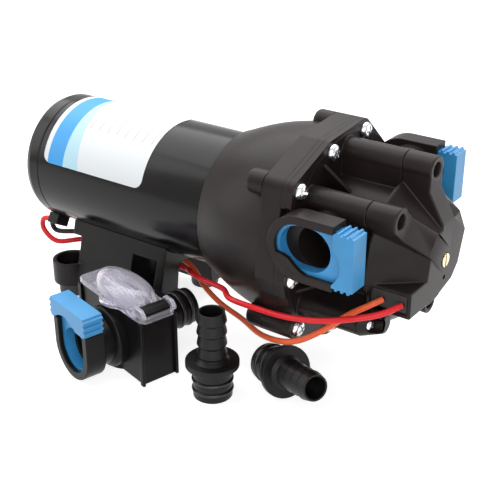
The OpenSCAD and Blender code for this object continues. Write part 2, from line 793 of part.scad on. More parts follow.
module switch_cover() {
    rear = x_cover + seat_gap;
    head_seat = x_tower - cover_bore_deep;
    color(black_plastic) difference() {
        union() {
            translate([0, 0, axis_h]) rotate([90, 0, 90]) hull() {
                translate([0, 0, rear]) linear_extrude(height = 1) circle(r = cover_rear_r, $fn = 32);
                translate([0, 0, x_end - 0.5]) linear_extrude(height = 0.5) polygon(end_face);
            }
            ring_rods(rear, x_low, low_tower_r, low_angles, core_r);
            ring_rods(rear, x_tower, tower_r, tower_angles, tower_ring_r);
            for (a = tower_angles) radial_plate(a, tower_w - web_inset, [[rear, 0], [rear, tower_ring_r],
                [x_tower, tower_ring_r], [x_tower, tower_ring_r - slab_step], [x_end, slab_end_r], [x_end, 0]]);
            hull() {
                ring_rods(rear, rear + 1, tower_r, [short_angle], tower_ring_r);
                ring_rods(x_short - 1, x_short, short_tip_r, [short_angle + 5], short_ring_r);
            }
            radial_plate(short_angle, short_web,
                [[rear, 0], [rear, tower_ring_r], [x_short - 1.5, short_ring_r], [x_short - 1.5, 0]]);
            translate([rear, gland_face, axis_h + gland_low])
                cube([x_end - rear, gland_inner - gland_face, gland_top - gland_low]);
        }
        rod(rear - 1, x_cover + cover_cavity_len, cover_cavity_r);
        rod(x_cover, x_end + 1, adjuster_d / 2 + run_gap);
        cover_holes(rear - 1, head_seat + 1);
        ring_rods(head_seat, x_end, cover_head_r + slide_gap, tower_angles, tower_ring_r);
        ring_rods(short_seat, x_end, cover_head_r + slide_gap, [short_angle], tower_ring_r);
        ring_rods(low_seat, x_end, cover_head_r + slide_gap, low_angles, core_r);
        translate([rear + gland_rim, gland_face - 1, axis_h + gland_low + gland_rim])
            cube([x_end - rear - 2 * gland_rim, gland_deep + 1, gland_top - gland_low - 2 * gland_rim]);
        rod(x_end - 3, x_end + 1, 1.2, 0, -9);
    }
}

// One cover screw, its head's underside at x, at an angle on a ring
module cover_screw(x, a, ring) {
    translate([0, ring * cos(a), ring * sin(a)])
        pan_screw(x, cover_screw_len, cover_screw_r, cover_head_r, cover_head_t);
}

module cover_screws() {
    color(zinc) {
        for (a = tower_angles) cover_screw(x_tower - cover_bore_deep, a, tower_ring_r);
        cover_screw(short_seat, short_angle, tower_ring_r);
        for (a = low_angles) cover_screw(low_seat, a, core_r);
    }
}

module switch_diaphragm() {
    color(black_rubber) rod(x_cover - 3, x_cover - 1.5, switch_r - seat_gap);
}

module switch_plunger() {
    color("ivory") {
        rod(x_cover - 1.2, x_cover + 0.8, 6);
        rod(x_cover - 1.2, x_cover + 5, 2.6);
    }
}

module switch_spring() {
    x0 = x_cover + 0.8 + slide_gap;
    x1 = x_cover + cover_cavity_len - 0.5;
    color(zinc) turned([[3.4, x0], [4.8, x0], [4.8, x1], [3.4, x1]]);
}

module microswitch() {
    half_w = 5;
    low = sqrt(pow(cover_cavity_r, 2) - pow(half_w, 2)) - seat_gap;
    color("darkslategray") translate([x_cover + 1, -half_w, axis_h - low]) cube([switch_len, 2 * half_w, 6]);
}

module adjusting_screw() {
    color("gold") difference() {
        rod(x_cover + cover_cavity_len, x_end + 0.4, adjuster_d / 2);
        translate([x_end - 0.8, -0.6, axis_h - adjuster_d]) cube([3, 1.2, 2 * adjuster_d]);
    }
}

module wire_gland() {
    rear = x_cover + seat_gap;
    y0 = gland_face + gland_deep - gland_t;
    color(black_rubber) translate([rear + gland_rim + seat_gap, y0 - seat_gap, axis_h + gland_low + gland_rim + seat_gap])
        cube([x_end - rear - 2 * gland_rim - 2 * seat_gap, gland_t, gland_top - gland_low - 2 * gland_rim - 2 * seat_gap]);
}

// Leads

// Point on a smooth curve through route points, between points i and i + 1
function on_route(route, i, t) = let (n = len(route) - 1, a = route[max(i - 1, 0)], b = route[i], c = route[i + 1],
    d = route[min(i + 2, n)])
    0.5 * (2 * b + (c - a) * t + (2 * a - 5 * b + 4 * c - d) * t * t + (3 * b - a - 3 * c + d) * t * t * t);
function smooth(route) = concat([for (i = [0 : len(route) - 2], k = [0 : lead_steps - 1])
    on_route(route, i, k / lead_steps)], [route[len(route) - 1]]);
function unit(v) = v / norm(v);

// One closed tube swept along a route
module lead(route) {
    line = smooth(route);
    n = len(line);
    points = [for (i = [0 : n - 1]) let (along = unit(line[min(i + 1, n - 1)] - line[max(i - 1, 0)]),
        side = unit(cross(along, [0, 1, 0.2])), up = cross(side, along)) for (k = [0 : lead_sides - 1])
        let (a = k * 360 / lead_sides) line[i] + lead_d / 2 * (cos(a) * side + sin(a) * up)];
    walls = [for (i = [0 : n - 2], k = [0 : lead_sides - 1]) let (m = (k + 1) % lead_sides, p = i * lead_sides,
        q = p + lead_sides) each [[p + k, q + m, p + m], [p + k, q + k, q + m]]];
    last = (n - 1) * lead_sides;
    ends = [for (k = [1 : lead_sides - 2]) each [[0, k, k + 1], [last, last + k + 1, last + k]]];
    polyhedron(points = points, faces = concat(walls, ends));
}

module red_lead() {
    color("red") lead(red_route);
}

module orange_lead() {
    color("orangered") lead(orange_route);
}

module black_lead() {
    color(black_rubber) lead(black_route);
}

// Strainer

module at_strainer() {
    translate([strainer_place[0], strainer_place[1], 0]) rotate([0, 0, strainer_turn]) children();
}

// Inlet port frame of the strainer: bore out along -Y, clip released upwards
module at_strainer_port() {
    at_strainer() translate([0, -collar_face, strainer_axis_h]) rotate([0, -90, 0]) rotate([90, 0, 0]) children();
}

// Plan of the strainer, drawn in by a margin
module strainer_plan(length, margin) {
    circle(r = bowl_w / 2 - margin, $fn = 96);
    square([length - 2 * margin, end_w - 2 * margin], center = true);
}

// Flat ring that follows the plan, from one margin in by a width
module plan_ring(margin, width, height) {
    linear_extrude(height = height) difference() {
        strainer_plan(end_len, margin);
        strainer_plan(end_len, margin + width);
    }
}

module strainer_body() {
    well = end_w / 2 - chamber_margin;
    color(black_plastic) difference() {
        union() {
            at_strainer() linear_extrude(height = strainer_h) strainer_plan(end_len, bowl_margin);
            at_strainer_port() {
                collar(strainer_reach);
                translate([0, 0, well - collar_face + 1]) cylinder(r = neck_r, h = collar_face - well, $fn = 64);
            }
            at_strainer() translate([0, well + 1, strainer_axis_h]) rotate([-90, 0, 0])
                cylinder(r = neck_r, h = neck_face - well - 1, $fn = 64);
            at_strainer() translate([0, neck_face - 2, strainer_axis_h]) rotate([-90, 0, 0])
                cylinder(r = spigot_r, h = spigot_end - neck_face + 2, $fn = 64);
        }
        at_strainer() translate([0, 0, bowl_floor]) linear_extrude(height = strainer_h)
            strainer_plan(end_len, chamber_margin);
        at_strainer() translate([0, 0, strainer_h - seal_t - 0.15])
            plan_ring(seal_in - seat_gap, seal_w + 2 * seat_gap, seal_t + 1);
        at_strainer_port() translate([0, 0, well - collar_face - 1])
            cylinder(r = port_bore_r, h = collar_face - well + 2 + collar_back, $fn = 64);
        at_strainer() translate([0, well - 1, strainer_axis_h]) rotate([-90, 0, 0])
            cylinder(r = spigot_r - 4, h = spigot_end - well + 2, $fn = 48);
        at_strainer() for (g = [groove_1, groove_2]) translate([0, spigot_end - g - groove_w, strainer_axis_h])
            rotate([-90, 0, 0]) difference() {
                cylinder(r = spigot_r + 3, h = groove_w, $fn = 64);
                translate([0, 0, -1]) cylinder(r = groove_r, h = groove_w + 2, $fn = 64);
            }
    }
}

module strainer_o_rings() {
    color(black_rubber) at_strainer() for (m = [ring_1_mid, ring_2_mid]) translate([0, spigot_end - m, strainer_axis_h])
        rotate([-90, 0, 0]) ring_torus(ring_major, ring_r);
}

// Boat-shaped dome over the middle of the lid, drawn in by a wall
module lid_dome(wall, low, high) {
    hull() {
        translate([0, 0, low]) linear_extrude(height = 0.5)
            scale([dome_len / 2 - wall, dome_w / 2 - wall]) circle(r = 1, $fn = 48);
        translate([0, 0, high - 0.5]) linear_extrude(height = 0.5)
            scale([dome_len * 0.36 - wall, dome_w * 0.34 - wall]) circle(r = 1, $fn = 48);
    }
}

module strainer_lid() {
    base = strainer_h + seat_gap;
    color([0.80, 0.78, 0.90, 0.5]) at_strainer() difference() {
        union() {
            translate([0, 0, base]) linear_extrude(height = lid_t) strainer_plan(lid_len, 0);
            lid_dome(0, base + 1, base + lid_t + dome_h);
        }
        lid_dome(dome_wall, base - 1, base + lid_t + dome_h - dome_wall);
        translate([lid_len / 2 - 8 - seat_gap, -end_w / 2 + 3 - seat_gap, base - 1])
            cube([5 + 2 * seat_gap, end_w - 6 + 2 * seat_gap, lid_t + 2]);
    }
}

module strainer_lid_catch() {
    base = strainer_h + seat_gap;
    color(black_plastic) at_strainer() {
        translate([lid_len / 2 - 8, -end_w / 2 + 3, base]) cube([5, end_w - 6, lid_t + 1]);
        translate([lid_len / 2 - 9, -end_w / 2 + 3, base + lid_t + seat_gap]) cube([7.5, end_w - 6, 3]);
    }
}

module strainer_lid_seal() {
    color(black_rubber) at_strainer() translate([0, 0, strainer_h - seal_t - 0.05]) plan_ring(seal_in, seal_w, seal_t);
}

module strainer_screen() {
    margin = chamber_margin + 0.6;
    floor_z = bowl_floor + seat_gap;
    color("lightgray") at_strainer() difference() {
        translate([0, 0, floor_z]) linear_extrude(height = strainer_h - floor_z - 2) strainer_plan(end_len, margin);
        translate([0, 0, floor_z + 1]) linear_extrude(height = strainer_h) strainer_plan(end_len, margin + 0.8);
        translate([0, 0, strainer_axis_h]) rotate([90, 0, 0])
            cylinder(r = port_bore_r + 0.5, h = 2 * bowl_w, center = true, $fn = 64);
    }
}

module strainer_clip() {
    color(sky_blue) at_strainer_port() mirror([0, 1, 0]) port_clip(strainer_reach, strainer_grip);
}

// Hose tails

// Hose tail on its spigot end, barbs upwards
module hose_tail() {
    flange_top = spigot_len + tail_flange_t;
    neck = flange_top + 2;
    pitch = (tail_len - neck) / barb_count;
    barbs = [for (i = [0 : barb_count - 1]) let (z = neck + i * pitch)
        each [[barb_root, z], [barb_r, z + pitch * 0.2], [barb_r - 0.15, z + pitch * 0.35], [barb_root, z + pitch * 0.95]]];
    rotate_extrude($fn = 72) polygon(concat([[tail_bore_r, 0], [spigot_r, 0], [spigot_r, groove_1], [groove_r, groove_1],
        [groove_r, groove_1 + groove_w], [spigot_r, groove_1 + groove_w], [spigot_r, groove_2], [groove_r, groove_2],
        [groove_r, groove_2 + groove_w], [spigot_r, groove_2 + groove_w], [spigot_r, spigot_len],
        [tail_flange_r, spigot_len], [tail_flange_r, flange_top], [barb_root + 1.5, flange_top]],
        barbs, [[barb_root, tail_len], [tail_bore_r, tail_len]]));
}

module tail_o_rings() {
    for (m = [ring_1_mid, ring_2_mid]) translate([0, 0, m]) ring_torus(ring_major, ring_r);
}

module at_standing() {
    translate([standing_place[0], standing_place[1], 0]) children();
}

// Tail laid down, its flange edge and its outer O-ring on the floor
module at_lying() {
    translate([lying_place[0], lying_place[1], lying_h]) rotate([0, 0, lying_turn]) rotate([0, 90 - lying_tilt, 0])
        translate([0, 0, -spigot_len]) children();
}

module standing_tail() {
    color(black_plastic) at_standing() hose_tail();
}

module standing_tail_o_rings() {
    color(black_rubber) at_standing() tail_o_rings();
}

module lying_tail() {
    color(black_plastic) at_lying() hose_tail();
}

module lying_tail_o_rings() {
    color(black_rubber) at_lying() tail_o_rings();
}

motor_can();
motor_end_cap();
rating_label();
motor_front_plate();
rear_bush();
front_bearing();
magnets();
motor_shaft();
armature_core();
armature_windings();
commutator();
brush_holder();
brushes();
base_cradle();
rubber_feet();
cradle_screws();
cable_clip();
bell_housing();
drive_cam();
cam_bearing();
wobble_plate();
flange_band();
diaphragm();
pump_head();
flange_screws();
valve_plate();
inlet_valves();
outlet_valve();
inlet_clip();
outlet_clip();
switch_cover();
cover_screws();
switch_diaphragm();
switch_plunger();
switch_spring();
microswitch();
adjusting_screw();
wire_gland();
red_lead();
orange_lead();
black_lead();
strainer_body();
strainer_lid();
strainer_lid_catch();
strainer_lid_seal();
strainer_screen();
strainer_clip();
strainer_o_rings();
standing_tail();
standing_tail_o_rings();
lying_tail();
lying_tail_o_rings();
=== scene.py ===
import math

import bmesh
import bpy
from mathutils import Matrix, Vector


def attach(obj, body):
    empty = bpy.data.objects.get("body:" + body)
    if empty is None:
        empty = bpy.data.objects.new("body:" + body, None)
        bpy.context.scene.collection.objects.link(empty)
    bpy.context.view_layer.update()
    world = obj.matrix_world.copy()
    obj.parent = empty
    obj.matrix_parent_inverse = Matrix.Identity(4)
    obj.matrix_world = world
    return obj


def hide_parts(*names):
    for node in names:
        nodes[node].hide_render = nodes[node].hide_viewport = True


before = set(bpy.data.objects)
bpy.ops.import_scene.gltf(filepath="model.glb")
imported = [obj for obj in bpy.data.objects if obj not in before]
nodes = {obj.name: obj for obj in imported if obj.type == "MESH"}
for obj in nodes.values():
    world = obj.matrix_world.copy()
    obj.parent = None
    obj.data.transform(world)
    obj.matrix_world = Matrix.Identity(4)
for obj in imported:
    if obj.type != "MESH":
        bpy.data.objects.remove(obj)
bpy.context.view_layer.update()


# Studio. The pump stands on a white table under one broad soft box, with a fill in front, a
# strip at the left and a low lamp at the right, as small goods are pictured.

mm = 0.001
table_half, table_drop, table_tone, table_glow = 3.0, 0.2 * mm, 0.6, 0.8
scene = bpy.context.scene
scene.view_settings.view_transform = "Standard"

lens = bpy.data.cameras.new("lens")
lens.lens = 72.39
lens.sensor_width = 36
camera = bpy.data.objects.new("camera", lens)
camera.location = (0.3662, -0.3970, 0.2844)
camera.rotation_mode = "QUATERNION"
camera.rotation_quaternion = Vector((-0.52425, 0.73107, -0.43670)).to_track_quat("-Z", "Y")
scene.collection.objects.link(camera)
scene.camera = camera


def node_tree(material):
    """The empty node tree of a material, with a way to add and to wire its nodes."""
    material.use_nodes = True
    tree = material.node_tree
    tree.nodes.clear()

    def add(kind, **settings):
        made = tree.nodes.new(kind)
        for key, value in settings.items():
            setattr(made, key, value)
        return made

    def wire(source, output, target, socket):
        tree.links.new(source.outputs[output], target.inputs[socket])

    return add, wire


def background_rays(add, wire):
    """A node that is 1 for rays from the camera, off gloss and through glass."""
    rays = add("ShaderNodeLightPath")
    either = add("ShaderNodeMath", operation="MAXIMUM")
    seen = add("ShaderNodeMath", operation="MAXIMUM")
    wire(rays, "Is Camera Ray", either, 0)
    wire(rays, "Is Glossy Ray", either, 1)
    wire(either, 0, seen, 0)
    wire(rays, "Is Transmission Ray", seen, 1)
    return seen


table_paper = bpy.data.materials.new("table_paper")
add, wire = node_tree(table_paper)
paper = add("ShaderNodeBsdfDiffuse")
paper.inputs["Color"].default_value = (table_tone, table_tone, table_tone, 1)
glow = add("ShaderNodeEmission")
glow.inputs["Strength"].default_value = table_glow
both = add("ShaderNodeAddShader")
choose = add("ShaderNodeMixShader")
wire(paper, 0, both, 0)
wire(glow, 0, both, 1)
wire(background_rays(add, wire), 0, choose, 0)
wire(paper, 0, choose, 1)
wire(both, 0, choose, 2)
wire(choose, 0, add("ShaderNodeOutputMaterial"), 0)

table = bpy.data.meshes.new("table")
table.from_pydata([(x * table_half, y * table_half, -table_drop)
                   for x, y in ((-1, -1), (1, -1), (1, 1), (-1, 1))], [], [(0, 1, 2, 3)])
table.materials.append(table_paper)
table_top = bpy.data.objects.new("table_top", table)
scene.collection.objects.link(table_top)

room = bpy.data.worlds.new("room")
scene.world = room
add, wire = node_tree(room)
white = add("ShaderNodeBackground")
white.inputs["Strength"].default_value = 1.0
dim = add("ShaderNodeBackground")
dim.inputs["Color"].default_value = (0.86, 0.87, 0.9, 1)
dim.inputs["Strength"].default_value = 0.2
choose = add("ShaderNodeMixShader")
wire(background_rays(add, wire), 0, choose, 0)
wire(dim, 0, choose, 1)
wire(white, 0, choose, 2)
wire(choose, 0, add("ShaderNodeOutputWorld"), 0)

for title, place, aim, wide, tall, power in (
        ("soft_box", (-0.15, 0.3, 0.9), (0.05, 0, 0.05), 1.6, 1.2, 16.0),
        ("front_fill", (0.75, -0.85, 0.5), (0.08, 0, 0.06), 0.9, 0.9, 6.5),
        ("right_glow", (0.95, 0.85, 0.3), (0.15, 0, 0.06), 0.9, 0.6, 3.0),
        ("left_strip", (-0.8, -0.5, 0.55), (0.03, 0, 0.06), 0.5, 0.9, 3.2)):
    lamp = bpy.data.lights.new(title, "AREA")
    lamp.shape = "RECTANGLE"
    lamp.size, lamp.size_y, lamp.energy = wide, tall, power
    box = bpy.data.objects.new(title, lamp)
    box.location = place
    box.rotation_mode = "QUATERNION"
    box.rotation_quaternion = (Vector(aim) - Vector(place)).to_track_quat("-Z", "Y")
    scene.collection.objects.link(box)


# Leads. Three PVC-covered wires of 3 mm: red and orange from the pressure switch's gland
# along the near side and under the saddle, black from the motor's rear into the saddle.

lead_d = 3 * mm
routes = {
    "red_lead": [
        (190, -33, 63), (183, -42, 60), (172, -49.5, 57.5), (158, -51.5, 53), (142, -51, 49),
        (126, -48.5, 46), (104.5, -48, 45.7), (90, -36, 42), (67, -25, 36), (52, -15, 31),
        (42, -8, 28), (10, -7, 28), (-24, -7, 28), (-36, -12, 26), (-47, -20, 25),
        (-55, -22, 31), (-55, -22, 38), (-48, -22, 40.5)],
    "orange_lead": [
        (180, -33, 63), (175.5, -38.5, 60.5), (168, -43.5, 55.5), (159, -46, 47),
        (146, -48, 37), (135, -48.5, 32.5), (118, -42, 27.5), (98, -30, 24), (76, -20, 22),
        (58, -11, 23), (46, -4, 26), (34, 0, 28), (18, 1, 28)],
    "black_lead": [
        (-48, -18, 38.3), (-53, -17, 35), (-52, -15, 29), (-44, -9, 28), (-32, 1, 28),
        (-18, 7, 28), (5, 7, 28)],
}
lead_looks = {
    "red_lead": ("red_pvc", (0.86, 0.02, 0.028), "object"),
    "orange_lead": ("orange_pvc", (1.0, 0.15, 0.045), "bare"),
    "black_lead": ("black_pvc", (0.012, 0.012, 0.013), "bare"),
}


def along_route(points, steps):
    """Points in metres on the smooth curve through a route, as the wire lies."""
    stops = [Vector(p) * mm for p in points]
    last = len(stops) - 1
    line = []
    for i in range(last):
        a, b, c, d = stops[max(i - 1, 0)], stops[i], stops[i + 1], stops[min(i + 2, last)]
        for k in range(steps):
            t = k / steps
            line.append(0.5 * (2 * b + (c - a) * t + (2 * a - 5 * b + 4 * c - d) * t * t
                               + (3 * b - a - 3 * c + d) * t ** 3))
    return line + [stops[last]]


def speckled(name, tone, rough, coat=0.0, patch=60.0, shift=0.25, grain=2500.0, bump=0.05,
             metal=0.0, specular=0.5):
    """A finish broken up as a real surface is: patches of tone, uneven gloss and a grain."""
    finish = bpy.data.materials.new(name)
    add, wire = node_tree(finish)
    place = add("ShaderNodeTexCoord")
    clouds = add("ShaderNodeTexNoise")
    clouds.inputs["Scale"].default_value = patch
    clouds.inputs["Detail"].default_value = 5
    tones = add("ShaderNodeValToRGB")
    darker, lighter = tones.color_ramp.elements
    darker.position, lighter.position = 0.3, 0.75
    darker.color = [c * (1 - shift) for c in tone] + [1]
    lighter.color = [min(1, c * (1 + shift)) for c in tone] + [1]
    gloss = add("ShaderNodeMapRange")
    gloss.inputs["To Min"].default_value = max(rough - 0.05, 0.02)
    gloss.inputs["To Max"].default_value = rough + 0.06
    pores = add("ShaderNodeTexNoise")
    pores.inputs["Scale"].default_value = grain
    pores.inputs["Detail"].default_value = 3
    relief = add("ShaderNodeBump")
    relief.inputs["Strength"].default_value = bump
    relief.inputs["Distance"].default_value = 0.2 * mm
    skin = add("ShaderNodeBsdfPrincipled")
    skin.inputs["Metallic"].default_value = metal
    skin.inputs["Specular IOR Level"].default_value = specular
    skin.inputs["Coat Weight"].default_value = coat
    skin.inputs["Coat Roughness"].default_value = 0.08
    wire(place, "Object", clouds, "Vector")
    wire(place, "Object", pores, "Vector")
    wire(clouds, "Fac", tones, "Fac")
    wire(clouds, "Fac", gloss, "Value")
    wire(pores, "Fac", relief, "Height")
    wire(tones, "Color", skin, "Base Color")
    wire(gloss, "Result", skin, "Roughness")
    wire(relief, "Normal", skin, "Normal")
    wire(skin, 0, add("ShaderNodeOutputMaterial"), 0)
    return finish


for lead, points in routes.items():
    cover_name, tone, far_end = lead_looks[lead]
    line = along_route(points, 8)
    wire_curve = bpy.data.curves.new(lead + "_wire", "CURVE")
    wire_curve.dimensions = "3D"
    wire_curve.bevel_depth = lead_d / 2
    wire_curve.bevel_resolution = 5
    wire_curve.use_fill_caps = True
    path = wire_curve.splines.new("POLY")
    path.points.add(len(line) - 1)
    for knot, p in zip(path.points, line):
        knot.co = (*p, 1)
    wire_curve.materials.append(speckled(cover_name, tone, 0.36, patch=90, shift=0.08,
                                         grain=1800, bump=0.04, specular=0.3))
    insulated = bpy.data.objects.new(lead + "_wire", wire_curve)
    scene.collection.objects.link(insulated)
    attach(insulated, "pump")
    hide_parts(lead)


# Motor can. A rolled steel tube sprayed gloss black, with a pressed end cap at its rear
# that is parted from it by a fine seam. Its front end goes into the bell housing.

axis_h = 74 * mm
can_r, can_wall = 36.5 * mm, 2 * mm
x_cap, x_can, x_can_end = -50.5 * mm, -39.5 * mm, 83.5 * mm
cap_flat_r, cap_in = can_r - 4 * mm, x_can + 4 * mm
cap_lip_r, cap_seam = can_r - can_wall - 0.1 * mm, x_can - 0.25 * mm
on_axis = Matrix.Translation((0, 0, axis_h))


def eased(outline, radius, steps=4, ends=True):
    """An outline of 2-D points with its corners rounded. With ends off, it is an open line."""
    soft = []
    count = len(outline)
    for i, corner in enumerate(outline):
        b = Vector(corner)
        if not ends and i in (0, count - 1):
            soft.append(b)
            continue
        back, on = Vector(outline[i - 1]) - b, Vector(outline[(i + 1) % count]) - b
        spread = back.angle(on, math.pi)
        if spread > math.radians(168) or radius <= 0:
            soft.append(b)
            continue
        cut = min(radius / math.tan(spread / 2), 0.46 * back.length, 0.46 * on.length)
        p, q = b + back.normalized() * cut, b + on.normalized() * cut
        for k in range(steps + 1):
            t = k / steps
            soft.append((1 - t) ** 2 * p + 2 * t * (1 - t) * b + t * t * q)
    return soft


def turn(shape, profile, place=on_axis, around=96):
    """Adds a turned solid about local X, from a closed profile of radius and station."""
    rings = []
    angles = [2 * math.pi * k / around for k in range(around)]
    for r, x in profile:
        if r < 1e-7:
            rings.append([shape.verts.new(place @ Vector((x, 0, 0)))])
        else:
            rings.append([shape.verts.new(place @ Vector((x, r * math.cos(a), r * math.sin(a))))
                          for a in angles])
    fresh = []
    for one, two in zip(rings, rings[1:] + rings[:1]):
        for k in range(around):
            m = (k + 1) % around
            ring = [one[k % len(one)], one[m % len(one)], two[m % len(two)], two[k % len(two)]]
            corners = list(dict.fromkeys(ring))
            if len(corners) > 2:
                fresh.append(shape.faces.new(corners))
    bmesh.ops.recalc_face_normals(shape, faces=fresh)


def shaded(piece, angle=38):
    """Smooth shading that keeps the corners sharper than an angle."""
    piece.data.shade_smooth()
    piece.data.set_sharp_from_angle(angle=math.radians(angle))
    even = piece.modifiers.new("even_normals", "WEIGHTED_NORMAL")
    even.keep_sharp = True


def loose(name, shape):
    """A shape as a plain object, to be finished, copied or cut with."""
    mesh = bpy.data.meshes.new(name)
    shape.to_mesh(mesh)
    shape.free()
    thing = bpy.data.objects.new(name, mesh)
    scene.collection.objects.link(thing)
    return thing


def set_on(piece, body, stands_for):
    """Says which body a piece rides on and hides the solids it stands for."""
    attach(piece, body)
    if stands_for:
        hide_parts(*stands_for)


def fitted(name, shape, finish, body, slot, *stands_for):
    """Makes a shape into a finished piece that rides on a body and stands for solids."""
    piece = loose(name, shape)
    piece.data.materials.append(finish)
    shaded(piece)
    set_on(piece, body, stands_for)


gloss_paint = speckled("gloss_paint", (0.0075, 0.0062, 0.0058), 0.2, coat=0.04, patch=26,
                       shift=0.25, grain=700, bump=0.03, specular=0.22)

tube = bmesh.new()
turn(tube, eased([(can_r - can_wall, x_can), (can_r, x_can), (can_r, x_can_end),
                  (can_r - can_wall, x_can_end)], 0.35 * mm), around=160)
fitted("painted_can", tube, gloss_paint, "pump", "black_paint", "motor_can")

cap = bmesh.new()
cap_side = [(cap_flat_r, x_cap), (can_r - 1.2 * mm, x_cap + 0.9 * mm), (can_r, x_cap + 4 * mm),
            (can_r, cap_seam), (cap_lip_r, cap_seam), (cap_lip_r, cap_in)]
turn(cap, [(0, x_cap)] + eased(cap_side, 0.9 * mm, ends=False) + [(0, cap_in)], around=160)
fitted("pressed_end_cap", cap, gloss_paint, "pump", "black_paint", "motor_end_cap")


# Rating label. A printed film stuck round the upper near side of the can, with rounded
# corners. It is kept blank: a blue band, a pale tint beside it, and ruled lines.

label_x, label_len, label_round = -35.5 * mm, 72 * mm, 5 * mm
label_low, label_arc = 15, 92
label_white, label_rules = (0.80, 0.83, 0.85, 1), (0.45, 0.48, 0.52, 1)
label_blue, label_tint = (0.05, 0.36, 0.80, 1), (0.50, 0.76, 0.86, 1)
film_r = can_r + 0.22 * mm
corner_steps = [label_round * (1 - math.cos(math.pi / 2 * k / 7)) for k in range(8)]
columns = corner_steps + [label_round + (label_len - 2 * label_round) * k / 12
                          for k in range(1, 12)]
columns += [label_len - d for d in reversed(corner_steps)]
rows = 64
half_arc = film_r * math.radians(label_arc) / 2
middle = math.radians(180 - label_low - label_arc / 2)
label = bmesh.new()
uv = label.loops.layers.uv.new("print")
film = []
for x in columns:
    inside = max(label_round - x, x - (label_len - label_round), 0)
    reach = half_arc - label_round + math.sqrt(max(label_round ** 2 - inside ** 2, 0))
    line = []
    for k in range(rows + 1):
        s = reach * (2 * k / rows - 1)
        a = middle - s / film_r
        spot = label.verts.new((label_x + x, film_r * math.cos(a), axis_h + film_r * math.sin(a)))
        line.append((spot, x / label_len, 0.5 + s / half_arc / 2))
    film.append(line)
for one, two in zip(film, film[1:]):
    for k in range(rows):
        cell = [one[k], two[k], two[k + 1], one[k + 1]]
        face = label.faces.new([c[0] for c in cell])
        for loop, c in zip(face.loops, cell):
            loop[uv].uv = (c[1], c[2])

label_print = bpy.data.materials.new("label_print")
add, wire = node_tree(label_print)
where = add("ShaderNodeUVMap", uv_map="print")
split = add("ShaderNodeSeparateXYZ")
wire(where, "UV", split, 0)
tint_edge = add("ShaderNodeMath", operation="MULTIPLY_ADD")
tint_edge.inputs[1].default_value = 0.14
wire(split, "Y", tint_edge, 0)
wire(split, "X", tint_edge, 2)
bands = add("ShaderNodeValToRGB")
bands.color_ramp.interpolation = "CONSTANT"
stops = bands.color_ramp.elements
stops[0].color = label_white
stops[1].position = 0.045
stops[1].color = label_blue
for position, tone in ((0.205, label_tint), (0.9, label_white)):
    stop = stops.new(position)
    stop.color = tone
wire(split, "X", bands, "Fac")
past_tint = add("ShaderNodeMath", operation="GREATER_THAN")
past_tint.inputs[1].default_value = 0.365
wire(tint_edge, 0, past_tint, 0)
lines = add("ShaderNodeTexWave", wave_type="BANDS", bands_direction="X", wave_profile="SAW")
lines.inputs["Scale"].default_value = 3.6
wire(where, "UV", lines, "Vector")
rule = add("ShaderNodeMath", operation="GREATER_THAN")
rule.inputs[1].default_value = 0.9
wire(lines, "Fac", rule, 0)
below = add("ShaderNodeMath", operation="GREATER_THAN")
below.inputs[1].default_value = 0.42
wire(split, "Y", below, 0)
ruled = add("ShaderNodeMath", operation="MULTIPLY")
wire(rule, 0, ruled, 0)
wire(below, 0, ruled, 1)
plain = add("ShaderNodeMix", data_type="RGBA")
plain.inputs[6].default_value = label_white
plain.inputs[7].default_value = label_rules
wire(ruled, 0, plain, 0)
face_print = add("ShaderNodeMix", data_type="RGBA")
wire(past_tint, 0, face_print, 0)
wire(bands, "Color", face_print, 6)
wire(plain, 2, face_print, 7)
film_skin = add("ShaderNodeBsdfPrincipled")
film_skin.inputs["Roughness"].default_value = 0.48
wire(face_print, 2, film_skin, "Base Color")
wire(film_skin, 0, add("ShaderNodeOutputMaterial"), 0)
fitted("blank_label", label, label_print, "pump", "label_white", "rating_label")


# Cradle. A black moulded saddle screwed under the can, with four open-topped ears. Each ear
# holds a rubber foot, and a small clip at the rear of the can holds the leads.

hole_r, rim_r, foot_neck_r, foot_h, ear_t = 2.6 * mm, 8.2 * mm, 6 * mm, 8 * mm, 4 * mm
button_r, button_low, button_high = rim_r - 0.7 * mm, foot_h + ear_t, foot_h + ear_t + 3 * mm
upright = Matrix.Rotation(-math.pi / 2, 4, "Y")


def softened(node, width, corner=32):
    """A copy of a solid with the edges that are sharper than an angle rounded off."""
    shape = bmesh.new()
    shape.from_mesh(nodes[node].data)
    bmesh.ops.remove_doubles(shape, verts=shape.verts[:], dist=3e-6)
    bmesh.ops.dissolve_limit(shape, angle_limit=math.radians(1), verts=shape.verts[:],
                             edges=shape.edges[:])
    edges = [e for e in shape.edges if len(e.link_faces) == 2
             and e.calc_face_angle(0) > math.radians(corner) and e.calc_length() > 0.6 * width]
    bmesh.ops.bevel(shape, geom=edges, offset=width, offset_type="OFFSET", segments=2,
                    profile=0.6, affect="EDGES", clamp_overlap=False)
    return shape


